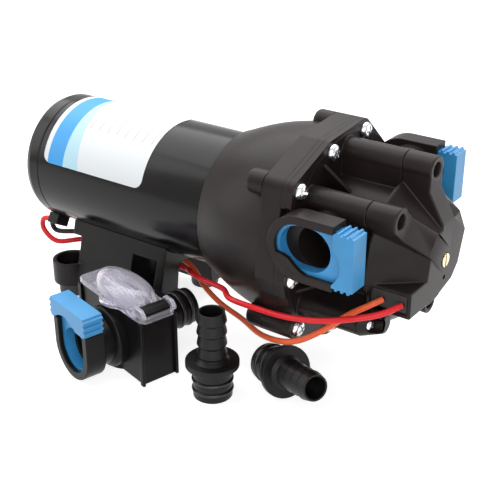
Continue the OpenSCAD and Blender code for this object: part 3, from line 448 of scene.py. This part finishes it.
def repeated(name, pattern, spots, turn_range, finish, body, slot, *stands_for):
    """Copies of one pattern set at spots, each turned at random about X, as one plain mesh."""
    tree = bpy.data.node_groups.new(name, "GeometryNodeTree")
    for title, side, kind in (("Spots", "INPUT", "NodeSocketGeometry"),
                              ("Pattern", "INPUT", "NodeSocketObject"),
                              ("Turn", "INPUT", "NodeSocketFloat"),
                              ("Finish", "INPUT", "NodeSocketMaterial"),
                              ("Set", "OUTPUT", "NodeSocketGeometry")):
        tree.interface.new_socket(title, in_out=side, socket_type=kind)
    into, out = tree.nodes.new("NodeGroupInput"), tree.nodes.new("NodeGroupOutput")
    points = tree.nodes.new("GeometryNodeMeshToPoints")
    one = tree.nodes.new("GeometryNodeObjectInfo")
    stroke = tree.nodes.new("FunctionNodeRandomValue")
    stroke.data_type = "FLOAT"
    stroke.inputs["Seed"].default_value = 7
    spin = tree.nodes.new("ShaderNodeCombineXYZ")
    set_in = tree.nodes.new("GeometryNodeInstanceOnPoints")
    real = tree.nodes.new("GeometryNodeRealizeInstances")
    coat = tree.nodes.new("GeometryNodeSetMaterial")
    for source, output, target, socket in (
            (into, "Spots", points, "Mesh"), (into, "Pattern", one, "Object"),
            (into, "Turn", stroke, 3), (stroke, 1, spin, "X"),
            (points, "Points", set_in, "Points"), (one, "Geometry", set_in, "Instance"),
            (spin, 0, set_in, "Rotation"), (set_in, "Instances", real, "Geometry"),
            (real, "Geometry", coat, "Geometry"), (into, "Finish", coat, "Material"),
            (coat, "Geometry", out, "Set")):
        tree.links.new(source.outputs[output], target.inputs[socket])
    seats = bpy.data.meshes.new(name + "_spots")
    seats.from_pydata([tuple(s) for s in spots], [], [])
    piece = bpy.data.objects.new(name, seats)
    scene.collection.objects.link(piece)
    build = piece.modifiers.new("set", "NODES")
    build.node_group = tree
    ids = {item.name: item.identifier for item in tree.interface.items_tree}
    build[ids["Pattern"]] = pattern
    build[ids["Turn"]] = turn_range
    build[ids["Finish"]] = finish
    graph = bpy.context.evaluated_depsgraph_get()
    mesh = bpy.data.meshes.new_from_object(piece.evaluated_get(graph))
    piece.modifiers.clear()
    piece.data = mesh
    bpy.data.objects.remove(pattern)
    shaded(piece, 32)
    set_on(piece, body, stands_for)


cradle_plastic = speckled("cradle_plastic", (0.0105, 0.0088, 0.0084), 0.38, patch=45, shift=0.3,
                          grain=2600, bump=0.08, specular=0.2)
foot_rubber = speckled("foot_rubber", (0.010, 0.010, 0.0105), 0.5, patch=80, shift=0.25,
                       grain=2200, bump=0.1)
fitted("saddle_moulding", softened("base_cradle", 0.8 * mm), cradle_plastic, "pump",
       "black_plastic", "base_cradle")
fitted("lead_clip_moulding", softened("cable_clip", 0.5 * mm), cradle_plastic, "pump",
       "black_plastic", "cable_clip")

foot = bmesh.new()
turn(foot, eased([(hole_r, 0), (rim_r - 0.5 * mm, 0), (rim_r, 1.2 * mm), (rim_r, foot_h),
                  (foot_neck_r, foot_h), (foot_neck_r, button_low), (button_r, button_low),
                  (button_r, button_high), (hole_r, button_high)], 0.7 * mm), upright, around=64)
repeated("rubber_foot_set", loose("rubber_foot", foot),
         [(x * mm, y * mm, 0) for x in (-28.5, 28.5) for y in (-27, 27)],
         0.0, foot_rubber, "pump", "black_rubber", "rubber_feet")


# Bell housing and flange band. The bell widens from the can to the band and carries a round
# boss for each outer screw. The band's outline is drawn tight round the screws.

x_bell, x_band, x_head, x_flange = 76 * mm, 122.5 * mm, 136 * mm, 139.5 * mm
band_r, band_hole_r, bell_wall = 52 * mm, 44.5 * mm, 3 * mm
bell_seat_r, bell_start_r, bell_seat_len = can_r + 0.05 * mm, can_r + 2.2 * mm, 7.6 * mm
bell_steps = 24
boss_r, boss_len, fine_gap = 6 * mm, 10 * mm, 0.1 * mm
boss_spots = [(51 * mm, 73)] + [(55 * mm, angle) for angle in (140, 220, 292, 340)]
plain_spots = [(48.5 * mm, angle) for angle in (108, 188, 256)]
collar_rooms = ((-1, 75.5 * mm, 101.5 * mm), (1, 81.5 * mm, 107.5 * mm))
x_room, y_room = 134 * mm, 45.5 * mm
lead_room, lead_room_r = (196, 213.5), 53.2 * mm
rim_step = 1.5 * mm
warm_black = (0.0185, 0.0136, 0.0124)
moulded = {"patch": 45, "shift": 0.3, "grain": 3200, "bump": 0.16, "specular": 0.17}
house_plastic = speckled("house_plastic", warm_black, 0.34, **moulded)


def round_the_axis(x, spots):
    """Points about the motor axis, from radii and angles from the outlet side upwards."""
    return [(x, r * math.cos(math.radians(a)), axis_h + r * math.sin(math.radians(a)))
            for r, a in spots]


def bell_face(t):
    """Radius of the bell at a share of its length, slightly bulged."""
    return bell_start_r + (band_r - bell_start_r) * (t + 0.18 * math.sin(math.pi * t))


def lobed_ring(shape, x0, x1, beside_collars, edge=0.4 * mm, around=180):
    """Adds a ring drawn tight round the screws, with room for the red lead and the collars."""
    lobes = [(Vector((0, 0)), band_r)]
    lobes += [(Vector((y, z - axis_h)), boss_r)
              for x, y, z in round_the_axis(0, boss_spots + plain_spots)]
    outline = []
    for k in range(around):
        out = Vector((math.cos(2 * math.pi * k / around), math.sin(2 * math.pi * k / around)))
        centre, radius = max(lobes, key=lambda lobe: lobe[0].dot(out) + lobe[1])
        outline.append(centre + out * radius)
    rims = []
    for a, b in zip(outline, outline[1:] + outline[:1]):
        parts = max(1, round((b - a).length / rim_step))
        rims += [a.lerp(b, k / parts) for k in range(parts)]
    rings = [[] for station in range(6)]
    for rim in rims:
        for side, low, high in collar_rooms if beside_collars else ():
            if side * rim.x > y_room and low < rim.y + axis_h < high:
                rim.x = side * y_room
        if lead_room[0] < math.degrees(math.atan2(rim.y, rim.x)) % 360 < lead_room[1]:
            rim.length = min(rim.length, lead_room_r)
        out = rim.normalized()
        stops = [(x0, out * band_hole_r), (x0, rim - out * edge), (x0 + edge, rim),
                 (x1 - edge, rim), (x1, rim - out * edge), (x1, out * band_hole_r)]
        for ring, (x, spot) in zip(rings, stops):
            ring.append(shape.verts.new((x, spot.x, axis_h + spot.y)))
    fresh = []
    for one, two in zip(rings, rings[1:] + rings[:1]):
        fresh += [shape.faces.new([one[k - 1], one[k], two[k], two[k - 1]])
                  for k in range(len(rims))]
    bmesh.ops.recalc_face_normals(shape, faces=fresh)


flare = [(bell_face(k / bell_steps), x_bell + (x_band - x_bell) * k / bell_steps)
         for k in range(2, bell_steps + 1)]
outer = [(bell_seat_r, x_bell), (bell_start_r - 1.2 * mm, x_bell),
         (bell_face(0.03), x_bell + 1 * mm)] + flare
inner = [(r - bell_wall, x) for r, x in reversed(outer[6:])]
shell = bmesh.new()
turn(shell, outer + inner + [(bell_seat_r, x_bell + bell_seat_len)], around=160)
boss_start = x_band - boss_len
for spot in round_the_axis(0, boss_spots):
    boss = eased([(0, boss_start), (boss_r, boss_start), (boss_r, x_band)], 2.6 * mm, 6, ends=False)
    turn(shell, boss + [(0, x_band)], Matrix.Translation(spot), around=48)
fitted("bell_moulding", shell, house_plastic, "pump", "black_plastic", "bell_housing")

band = bmesh.new()
lobed_ring(band, x_band + fine_gap, x_room, False)
lobed_ring(band, x_room - 0.8 * mm, x_head, True, fine_gap)
fitted("band_moulding", band, house_plastic, "pump", "black_plastic", "flange_band")


# Pump head. A black moulding with a flange at its rear, a core, screw towers joined to it by
# webs and a clip collar on each side. Triangular fins stiffen the flange between the towers.

core_r = 33 * mm
x_port, z_port, x_outlet, z_outlet = 153.5 * mm, 88.5 * mm, 151 * mm, 94.5 * mm
port_out = 46 * mm
near_port = (Matrix.Translation((x_port, -port_out, z_port))
             @ Matrix.Rotation(math.pi / 2, 4, "X"))
far_port = (Matrix.Translation((x_outlet, port_out, z_outlet))
            @ Matrix.Rotation(-math.pi / 2, 4, "X"))
slot_r, slot_centre, slot_end = 13.1 * mm, -6 * mm, 12.9 * mm
bore_r, lip_r = 10.1 * mm, 12.8 * mm
lip_edge = ((-17.4, -4.0), (-13.5, -4.6), (-10.4, -5.6), (-8.7, -7.2), (-6.6, -9.0),
            (-3.8, -10.8), (-0.5, -12.0))
closed_half = [math.pi / 2 + math.pi * k / 24 for k in range(25)]
open_half = [a - math.pi for a in closed_half]
fins = ((118, 13, 15), (198, 17, 14), (236, 17, 15), (268, 14, 15), (310, 14, 15))
fin_half_t, fin_foot = 0.9 * mm, core_r - 2 * mm


def prism(shape, outline, low, high, place, edge=0.0):
    """Adds an outline in the local XY plane, drawn up between heights, with rounded edges."""
    under = [shape.verts.new(place @ Vector((x, y, low))) for x, y in outline]
    over = [shape.verts.new(place @ Vector((x, y, high))) for x, y in outline]
    fresh = [shape.faces.new(list(reversed(under))), shape.faces.new(over)]
    count = len(outline)
    for k in range(count):
        m = (k + 1) % count
        fresh.append(shape.faces.new([under[k], under[m], over[m], over[k]]))
    bmesh.ops.recalc_face_normals(shape, faces=fresh)
    if edge:
        lines = {e for f in fresh for e in f.edges if e.calc_face_angle(0) > math.radians(28)}
        bmesh.ops.bevel(shape, geom=list(lines), offset=edge, offset_type="OFFSET", segments=2,
                        profile=0.6, affect="EDGES", clamp_overlap=True)


def holed_plate(shape, outside, inside, low, high, place):
    """Adds a plate between two outlines of as many points, drawn up between heights."""
    loops = [[shape.verts.new(place @ Vector((x, y, h))) for x, y in outline]
             for outline, h in ((outside, low), (outside, high), (inside, high), (inside, low))]
    fresh = []
    for one, two in zip(loops, loops[1:] + loops[:1]):
        fresh += [shape.faces.new([one[k - 1], one[k], two[k], two[k - 1]])
                  for k in range(len(outside))]
    bmesh.ops.recalc_face_normals(shape, faces=fresh)


def arc(centre, radius, angles):
    """Points on a circle that is centred on the local X axis."""
    return [(centre + radius * math.cos(a), radius * math.sin(a)) for a in angles]


def collar_faces(shape, place, up):
    """Adds a collar's back face and its mouth's lower lip. Up is 1 where local +Y points up."""
    outside = arc(slot_centre, slot_r, closed_half)
    outside += [(slot_end, slot_r * math.sin(a)) for a in open_half]
    inside = arc(0, bore_r, closed_half + open_half)
    holed_plate(shape, outside, inside, 0.4 * mm, 2.53 * mm, place)
    rim = [math.radians(angle) for angle in range(270, 196, -8)]
    lip = [(x * mm, y * mm) for x, y in lip_edge] + arc(slot_centre, lip_r, rim)
    prism(shape, [(x, up * y) for x, y in lip], 8.6 * mm, 10.9 * mm, place, 0.2 * mm)


head = softened("pump_head", 0.6 * mm)
collar_faces(head, near_port, 1)
collar_faces(head, far_port, -1)
lobed_ring(head, x_head, x_flange - fine_gap, True, fine_gap)
for angle, deep, tall in fins:
    radial = on_axis @ Matrix.Rotation(math.radians(angle), 4, "X")
    fin = [(x_flange - 1 * mm, fin_foot), (x_flange - 1 * mm, core_r + tall * mm),
           (x_flange + 1 * mm, core_r + tall * mm), (x_flange + deep * mm, fin_foot)]
    prism(head, fin, -fin_half_t, fin_half_t, radial, 0.3 * mm)
fitted("head_moulding", head, house_plastic, "pump", "black_plastic", "pump_head")


# Screws. Zinc-plated pan head screws with a cross recess: eight hold the bell, the band and
# the head together, and five hold the switch cover. Two hold the saddle to the can.

x_cover, x_tower = 171.5 * mm, 186.5 * mm
tower_ring_r = 43.5 * mm
tower_spots = [(tower_ring_r, 90), (tower_ring_r, 138)]
side_spot, low_spots = [(tower_ring_r, 214)], [(core_r, 290), (core_r, 330)]
any_turn = 6.283
zinc = speckled("zinc_plate", (0.80, 0.81, 0.83), 0.2, patch=420, shift=0.14, grain=1500,
                bump=0.05, metal=1.0)


def cross_screw(name, head_r, head_h, shank_r, shank_len):
    """One screw along X, the underside of its head at the origin, with a cross in its head."""
    body = bmesh.new()
    crown = [(head_r * r, head_h * h) for r, h in (
        (0.97, 0), (1, 0.12), (0.985, 0.36), (0.9, 0.6), (0.74, 0.8), (0.5, 0.94), (0.25, 1))]
    turn(body, [(0, -shank_len), (shank_r, -shank_len), (shank_r, 0)] + crown + [(0, head_h)],
         Matrix(), around=40)
    screw = loose(name, body)
    bit = bmesh.new()
    bar = Matrix.Diagonal((head_h * 1.1, head_r * 1.15, head_r * 0.24, 1))
    for spin in (0, math.pi / 2):
        arm = bmesh.ops.create_cube(bit, size=1)["verts"]
        bmesh.ops.transform(bit, verts=arm, matrix=Matrix.Rotation(spin, 4, "X")
                            @ Matrix.Translation((head_h, 0, 0)) @ bar)
    cutter = loose(name + "_bit", bit)
    cut = screw.modifiers.new("recess", "BOOLEAN")
    cut.operation, cut.solver, cut.object, cut.use_self = "DIFFERENCE", "EXACT", cutter, True
    graph = bpy.context.evaluated_depsgraph_get()
    screw.data = bpy.data.meshes.new_from_object(screw.evaluated_get(graph))
    screw.modifiers.clear()
    bpy.data.objects.remove(cutter)
    return screw


def finished(node, finish):
    """Gives a plain solid its finish."""
    layers = nodes[node].data.materials
    layers.clear()
    layers.append(finish)


repeated("flange_screw_set", cross_screw("flange_screw", 4.3 * mm, 3.2 * mm, 1.9 * mm, 18 * mm),
         round_the_axis(x_flange, boss_spots + plain_spots),
         any_turn, zinc, "pump", "steel", "flange_screws")
repeated("cover_screw_set", cross_screw("cover_screw", 3.3 * mm, 2.6 * mm, 1.8 * mm, 18 * mm),
         round_the_axis(x_tower - 8 * mm, tower_spots)
         + round_the_axis(x_cover + 3 * mm, side_spot)
         + round_the_axis(x_cover + 5 * mm, low_spots),
         any_turn, zinc, "pump", "steel", "cover_screws")
finished("cradle_screws", zinc)


# Port clips. A sky-blue ring slides in each collar's slot and holds the plug. Its handle is a
# block, hollowed towards the bore, with three grip ribs at both ends.

clip_half, clip_wall, clip_short, clip_mouth = 12.9 * mm, 2.4 * mm, 3.1 * mm, 18 * mm
ring_low, ring_high, handle_low, handle_high = 2.8 * mm, 8.2 * mm, 1 * mm, 12 * mm
handle_in, handle_out, hollow_depth, hollow_shift = 13.3 * mm, 24.1 * mm, 4.2 * mm, 3 * mm
rib_h, rib_w, rib_slope = 1.1 * mm, 1.7 * mm, 0.3 * mm
rib_starts = [handle_in + (1.6 + 3.1 * k) * mm for k in range(3)]
port_reach, port_grip = 22 * mm, 26 * mm
blue_moulding = speckled("blue_moulding", (0.045, 0.30, 0.62), 0.36, patch=60, shift=0.12,
                         grain=2600, bump=0.08)


def port_clip(name, place, reach, grip, body, node):
    """One clip in the frame of its port: bore along +Z, release along +X."""
    clip = bmesh.new()
    centre = clip_half - (reach - clip_short)
    bore = clip_half - clip_wall
    outside = arc(centre, clip_half, closed_half)
    outside += [(clip_mouth, clip_half * math.sin(a)) for a in open_half]
    inside = arc(centre, bore, closed_half) + arc(0, bore, open_half)
    holed_plate(clip, outside, inside, ring_low, ring_high, place)
    y1, hollow = grip / 2, 0.33 * grip
    block = [(handle_in, y1)]
    for side in (1, -1):
        for s in rib_starts if side > 0 else [s + rib_w for s in reversed(rib_starts)]:
            block += [(s, side * y1), (s + side * rib_slope, side * (y1 + rib_h)),
                      (s + side * (rib_w - rib_slope), side * (y1 + rib_h)),
                      (s + side * rib_w, side * y1)]
        block += [(handle_out, y1), (handle_out, -y1)] if side > 0 else [(handle_in, -y1)]
    block += [(handle_in + hollow_depth * (1 - (k / 6) ** 2), hollow * k / 6 - hollow_shift)
              for k in range(-6, 7)]
    prism(clip, block, handle_low, handle_high, place, 0.3 * mm)
    fitted(name, clip, blue_moulding, body, "blue_plastic", node)


port_clip("near_clip_moulding", near_port, port_reach, port_grip, "inlet_clip", "inlet_clip")
port_clip("far_clip_moulding", far_port, port_reach, port_grip, "outlet_clip", "outlet_clip")


# Switch cover. A faceted black cap over the pressure switch with a flat end face. A brass
# screw in the end sets the pressure, and the leads leave through a rubber gland in its side.

cover_plastic = speckled("cover_plastic", warm_black, 0.34, **moulded)
gland_rubber = speckled("gland_rubber", (0.009, 0.009, 0.0095), 0.55, patch=90, shift=0.25,
                        grain=2000, bump=0.1)
brass = speckled("turned_brass", (0.78, 0.66, 0.42), 0.26, patch=300, shift=0.12, grain=1500,
                 bump=0.05, metal=1.0)
fitted("cover_moulding", softened("switch_cover", 0.8 * mm), cover_plastic, "pump",
       "black_plastic", "switch_cover")
fitted("gland_moulding", softened("wire_gland", 0.3 * mm), gland_rubber, "pump",
       "black_rubber", "wire_gland")
fitted("brass_adjuster", softened("adjusting_screw", 0.2 * mm), brass, "adjusting_screw",
       "brass", "adjusting_screw")


# Strainer. A narrow black box with a plug for the pump's inlet at its far side and a clip
# collar on a ringed neck at its near side. Its clear domed lid shows the screen.

strainer_place = (Matrix.Translation((48 * mm, -63.2 * mm, 0))
                  @ Matrix.Rotation(math.radians(-15.3), 4, "Z"))
strainer_h, strainer_axis_h, collar_face = 36 * mm, 17.5 * mm, 23 * mm
strainer_reach, strainer_grip = 17 * mm, 32 * mm
neck_ring_in, neck_ring_r = 12.5 * mm, 16.4 * mm
post_in, post_out, post_near, post_far = 27.2 * mm, 30 * mm, 9.4 * mm, 11 * mm
strainer_port = (strainer_place @ Matrix.Translation((0, -collar_face, strainer_axis_h))
                 @ Matrix.Rotation(-math.pi / 2, 4, "Y") @ Matrix.Rotation(math.pi / 2, 4, "X"))
strainer_clip_place = (strainer_port @ Matrix.Rotation(math.pi, 4, "X")
                       @ Matrix.Diagonal((1, 1, -1, 1)))
cool_black = (0.0085, 0.0076, 0.0073)
strainer_plastic = speckled("strainer_plastic", cool_black, 0.32, patch=60, shift=0.3,
                            grain=2400, bump=0.08, specular=0.14)
ring_rubber = speckled("ring_rubber", (0.007, 0.007, 0.0075), 0.3, patch=150, shift=0.2,
                       grain=2400, bump=0.05)

bowl = softened("strainer_body", 0.6 * mm)
for side in (-1, 1):
    for end in (-1, 1):
        post = [(end * post_in, side * post_near), (end * post_out, side * post_near),
                (end * post_out, side * post_far), (end * post_in, side * post_far)]
        prism(bowl, post, 0.1 * mm, strainer_h - 0.2 * mm, strainer_place, 0.4 * mm)
turn(bowl, eased([(neck_ring_in, -14 * mm), (neck_ring_r, -14 * mm), (neck_ring_r, -8.4 * mm),
                  (neck_ring_in, -6 * mm)], 1.4 * mm),
     strainer_port @ Matrix.Rotation(-math.pi / 2, 4, "Y"), around=72)
fitted("bowl_moulding", bowl, strainer_plastic, "strainer", "black_plastic", "strainer_body")
port_clip("strainer_clip_moulding", strainer_clip_place, strainer_reach, strainer_grip,
          "strainer_clip", "strainer_clip")

clear_resin = bpy.data.materials.new("clear_resin")
add, wire = node_tree(clear_resin)
place = add("ShaderNodeTexCoord")
flow = add("ShaderNodeTexNoise")
flow.inputs["Scale"].default_value = 160
flow.inputs["Detail"].default_value = 2
ripple = add("ShaderNodeBump")
ripple.inputs["Strength"].default_value = 0.3
ripple.inputs["Distance"].default_value = 0.4 * mm
tint = add("ShaderNodeValToRGB")
tint.color_ramp.elements[0].color = (0.86, 0.83, 0.99, 1)
tint.color_ramp.elements[1].color = (1, 0.99, 1, 1)
resin = add("ShaderNodeBsdfPrincipled")
resin.inputs["Roughness"].default_value = 0.04
resin.inputs["IOR"].default_value = 1.4
resin.inputs["Transmission Weight"].default_value = 0.8
wire(place, "Object", flow, "Vector")
wire(flow, "Fac", ripple, "Height")
wire(flow, "Fac", tint, "Fac")
wire(tint, "Color", resin, "Base Color")
wire(ripple, "Normal", resin, "Normal")
wire(resin, 0, add("ShaderNodeOutputMaterial"), 0)

lid_base, lid_top, lid_wall = strainer_h + 0.1 * mm, strainer_h + 3.1 * mm, 2 * mm
lid_half_len, lid_half_w, lid_middle_r, lid_corner = 31 * mm, 10.5 * mm, 14 * mm, 2.5 * mm
dome_half_len, dome_half_w = 23 * mm, 11.5 * mm
dome_levels = ((1, 1, 0), (0.98, 0.96, 2.6 * mm), (0.92, 0.86, 5 * mm), (0.82, 0.7, 6.7 * mm),
               (0.68, 0.48, 7.4 * mm))
lid_around = 96


def lid_ring(height, reach):
    """A ring of corners round the lid's middle, as far out as a rule gives for a direction."""
    ring = []
    for k in range(lid_around):
        a = 2 * math.pi * k / lid_around
        c, s = math.cos(a), math.sin(a)
        corner = Vector((reach(c, s) * c, reach(c, s) * s, height))
        ring.append(lid.verts.new(strainer_place @ corner))
    return ring


def plan_reach(c, s):
    """Reach of the lid's plan: a box with cut corners and a round middle."""
    across, up = max(abs(c), 1e-6), max(abs(s), 1e-6)
    box = min(lid_half_len / across, lid_half_w / up,
              (lid_half_len + lid_half_w - lid_corner) / (across + up))
    return max(box, lid_middle_r)


def oval(share_len, share_w, wall=0.0):
    """Reach of an oval that is a share of the dome's length and width, drawn in by a wall."""
    long, short = dome_half_len * share_len - wall, dome_half_w * share_w - wall
    return lambda c, s: 1 / math.hypot(c / long, s / short)


lid = bmesh.new()
skins = [lid_ring(lid_base, oval(1, 1, lid_wall)), lid_ring(lid_base, plan_reach),
         lid_ring(lid_top - 0.6 * mm, plan_reach),
         lid_ring(lid_top, lambda c, s: plan_reach(c, s) - 0.7 * mm)]
skins += [lid_ring(lid_top + high, oval(long, wide)) for long, wide, high in dome_levels]
inside = [lid_ring(lid_top + high - lid_wall, oval(long, wide, lid_wall))
          for long, wide, high in reversed(dome_levels[1:])]
faces = [lid.faces.new(skins[-1]), lid.faces.new(inside[0])]
for one, two in list(zip(skins, skins[1:])) + list(zip(inside, inside[1:] + skins[:1])):
    faces += [lid.faces.new([one[k - 1], one[k], two[k], two[k - 1]]) for k in range(lid_around)]
bmesh.ops.recalc_face_normals(lid, faces=faces)

side_view = strainer_place @ Matrix.Rotation(math.pi / 2, 4, "X")
cheek = ((19.5, -0.5), (30.9, -0.5), (30.9, 1.6), (28.6, 4), (22.6, 4), (19.5, 1))
lid_rib = ((-15, 3.6), (15, 3.6), (13, 5.6), (-13, 5.6))
catch_grip = ((22, 0.15), (29.4, 0.15), (29.4, 1.2), (27, 3.1), (23.4, 3.1), (22, 1.8))
catch_root = ((23, 0), (28, 0), (28, 3.4), (23, 3.4))
catch_half = 7.5 * mm


def side_on(height, outline):
    """An outline in millimetres as seen from the strainer's side, raised to a height."""
    return [(x * mm, height + z * mm) for x, z in outline]


for y in (-10.3, 7.8):
    prism(lid, side_on(lid_top, cheek), y * mm, (y + 2.5) * mm, side_view, 0.5 * mm)
for y in (-3.2, 1.8):
    prism(lid, side_on(lid_top, lid_rib), y * mm, (y + 1.4) * mm, side_view, 0.2 * mm)
fitted("clear_lid_moulding", lid, clear_resin, "strainer_lid", "clear_plastic", "strainer_lid")

catch = bmesh.new()
prism(catch, side_on(lid_top, catch_grip), -catch_half, catch_half, side_view, 0.3 * mm)
prism(catch, side_on(lid_base, catch_root), -catch_half, catch_half, side_view)
fitted("catch_moulding", catch, strainer_plastic, "strainer_lid", "black_plastic",
       "strainer_lid_catch")

screen_wire = speckled("screen_wire", (0.78, 0.77, 0.82), 0.4, patch=300, shift=0.1, grain=1500,
                       bump=0.03, metal=0.3)
mesh_h, mesh_pitch, wire_r = 33.6 * mm, 1.5 * mm, 0.28 * mm
turned = strainer_place.to_3x3().to_4x4()
for title, half, count, across in (("long", 25 * mm, 9, False), ("cross", 6.4 * mm, 33, True)):
    bar = bmesh.new()
    turn(bar, [(0, -half), (wire_r, -half), (wire_r, half), (0, half)],
         turned @ Matrix.Rotation(math.pi / 2 if across else 0, 4, "Z"), around=8)
    steps = [(k - (count - 1) / 2) * mesh_pitch for k in range(count)]
    spots = [strainer_place @ Vector((d, 0, mesh_h) if across else (0, d, mesh_h)) for d in steps]
    repeated(title + "_screen_wires", loose(title + "_wire", bar), spots, 0.0, screen_wire,
             "strainer", "steel")
finished("strainer_screen", screen_wire)
finished("strainer_lid_seal", ring_rubber)


# Hose tails. Two black nylon fittings, turned in shape: a plug with two O-ring grooves, a
# flange, and four barbs for half-inch hose. One stands on its plug and one lies beside it.

spigot_r, spigot_len, ring_cord_r = 9.9 * mm, 17 * mm, 1.1 * mm
groove_r, groove_w, grooves = 8.3 * mm, 2.4 * mm, (3 * mm, 8.5 * mm)
tail_flange_r, tail_flange_t, tail_len = 13.5 * mm, 3 * mm, 47 * mm
barb_r, barb_root, tail_bore_r, barb_count = 7.55 * mm, 6.6 * mm, 5.6 * mm, 4
strainer_plug_end = 39.5 * mm
ring_stations = [g + groove_w / 2 for g in grooves]
ring_major = groove_r + ring_cord_r + 0.04 * mm
flange_top = spigot_len + tail_flange_t
neck = flange_top + 2 * mm
pitch = (tail_len - neck) / barb_count
tail_profile = [(tail_bore_r, 0), (spigot_r, 0)]
for g in grooves:
    tail_profile += [(spigot_r, g), (groove_r, g), (groove_r, g + groove_w),
                     (spigot_r, g + groove_w)]
tail_profile += [(spigot_r, spigot_len), (tail_flange_r, spigot_len), (tail_flange_r, flange_top),
                 (barb_root + 2.2 * mm, flange_top), (barb_root + 0.3 * mm, neck - 0.4 * mm)]
for i in range(barb_count):
    z = neck + i * pitch
    tail_profile += [(barb_root, z), (barb_r, z + pitch * 0.2),
                     (barb_r - 0.15 * mm, z + pitch * 0.35), (barb_root, z + pitch * 0.95)]
tail_profile += [(barb_root, tail_len), (tail_bore_r, tail_len)]
standing_place = Matrix.Translation((105.3 * mm, -65 * mm, 0)) @ upright
lying_tilt = math.atan((tail_flange_r - ring_major - ring_cord_r)
                       / (spigot_len - grooves[0] - groove_w / 2))
lying_place = (Matrix.Translation((134 * mm, -44.3 * mm, tail_flange_r * math.cos(lying_tilt)))
               @ Matrix.Rotation(math.radians(-26), 4, "Z")
               @ Matrix.Rotation(math.pi / 2 - lying_tilt, 4, "Y")
               @ Matrix.Translation((0, 0, -spigot_len)) @ upright)
strainer_plug = (strainer_place @ Matrix.Translation((0, strainer_plug_end, strainer_axis_h))
                 @ Matrix.Rotation(-math.pi / 2, 4, "Z"))
nylon = speckled("black_nylon", cool_black, 0.38, patch=70, shift=0.3, grain=2600, bump=0.08,
                 specular=0.24)


def o_rings(name, place, body, node):
    """Two rubber rings of round cord in the grooves of a plug along local X."""
    shape = bmesh.new()
    angles = [2 * math.pi * k / 16 for k in range(16)]
    for x in ring_stations:
        section = [(ring_major + ring_cord_r * math.cos(a), x + ring_cord_r * math.sin(a))
                   for a in angles]
        turn(shape, section, place, around=72)
    fitted(name, shape, ring_rubber, body, "black_rubber", node)


for name, place in (("standing_tail", standing_place), ("lying_tail", lying_place)):
    tail = bmesh.new()
    turn(tail, eased(tail_profile, 0.35 * mm, 3), place, around=96)
    fitted(name + "_nylon", tail, nylon, name, "black_plastic", name)
    o_rings(name + "_rubber_rings", place, name, name + "_o_rings")
o_rings("strainer_rubber_rings", strainer_plug, "strainer", "strainer_o_rings")


# Works inside. The wound armature, magnets, brushes, drive, diaphragm, valves and switch are
# hidden by the housings. They keep their plain shapes and take the look of their stuff.

steel = speckled("bright_steel", (0.62, 0.63, 0.65), 0.3, patch=200, shift=0.15, grain=1400,
                 bump=0.05, metal=1.0)
copper = speckled("enamelled_copper", (0.62, 0.27, 0.12), 0.34, patch=260, shift=0.2, grain=900,
                  bump=0.15, metal=0.8)
ferrite = speckled("grey_ferrite", (0.06, 0.06, 0.062), 0.6, patch=120, shift=0.3, grain=1800,
                   bump=0.12)
pale_nylon = speckled("pale_nylon", (0.72, 0.70, 0.64), 0.42, patch=70, shift=0.1, grain=2200,
                      bump=0.06)
brown_resin = speckled("brown_resin", (0.16, 0.075, 0.035), 0.45, patch=90, shift=0.2,
                       grain=2000, bump=0.08)
soft_rubber = speckled("soft_rubber", (0.012, 0.012, 0.0125), 0.62, patch=80, shift=0.25,
                       grain=2200, bump=0.12)
for finish, names in (
        (steel, ("motor_shaft", "front_bearing", "cam_bearing", "motor_front_plate",
                 "switch_spring", "armature_core", "drive_cam")),
        (copper, ("armature_windings", "commutator")),
        (brass, ("rear_bush",)),
        (ferrite, ("magnets", "brushes")),
        (pale_nylon, ("wobble_plate", "valve_plate", "switch_plunger")),
        (brown_resin, ("brush_holder", "microswitch")),
        (soft_rubber, ("diaphragm", "switch_diaphragm", "inlet_valves", "outlet_valve"))):
    for name in names:
        finished(name, finish)
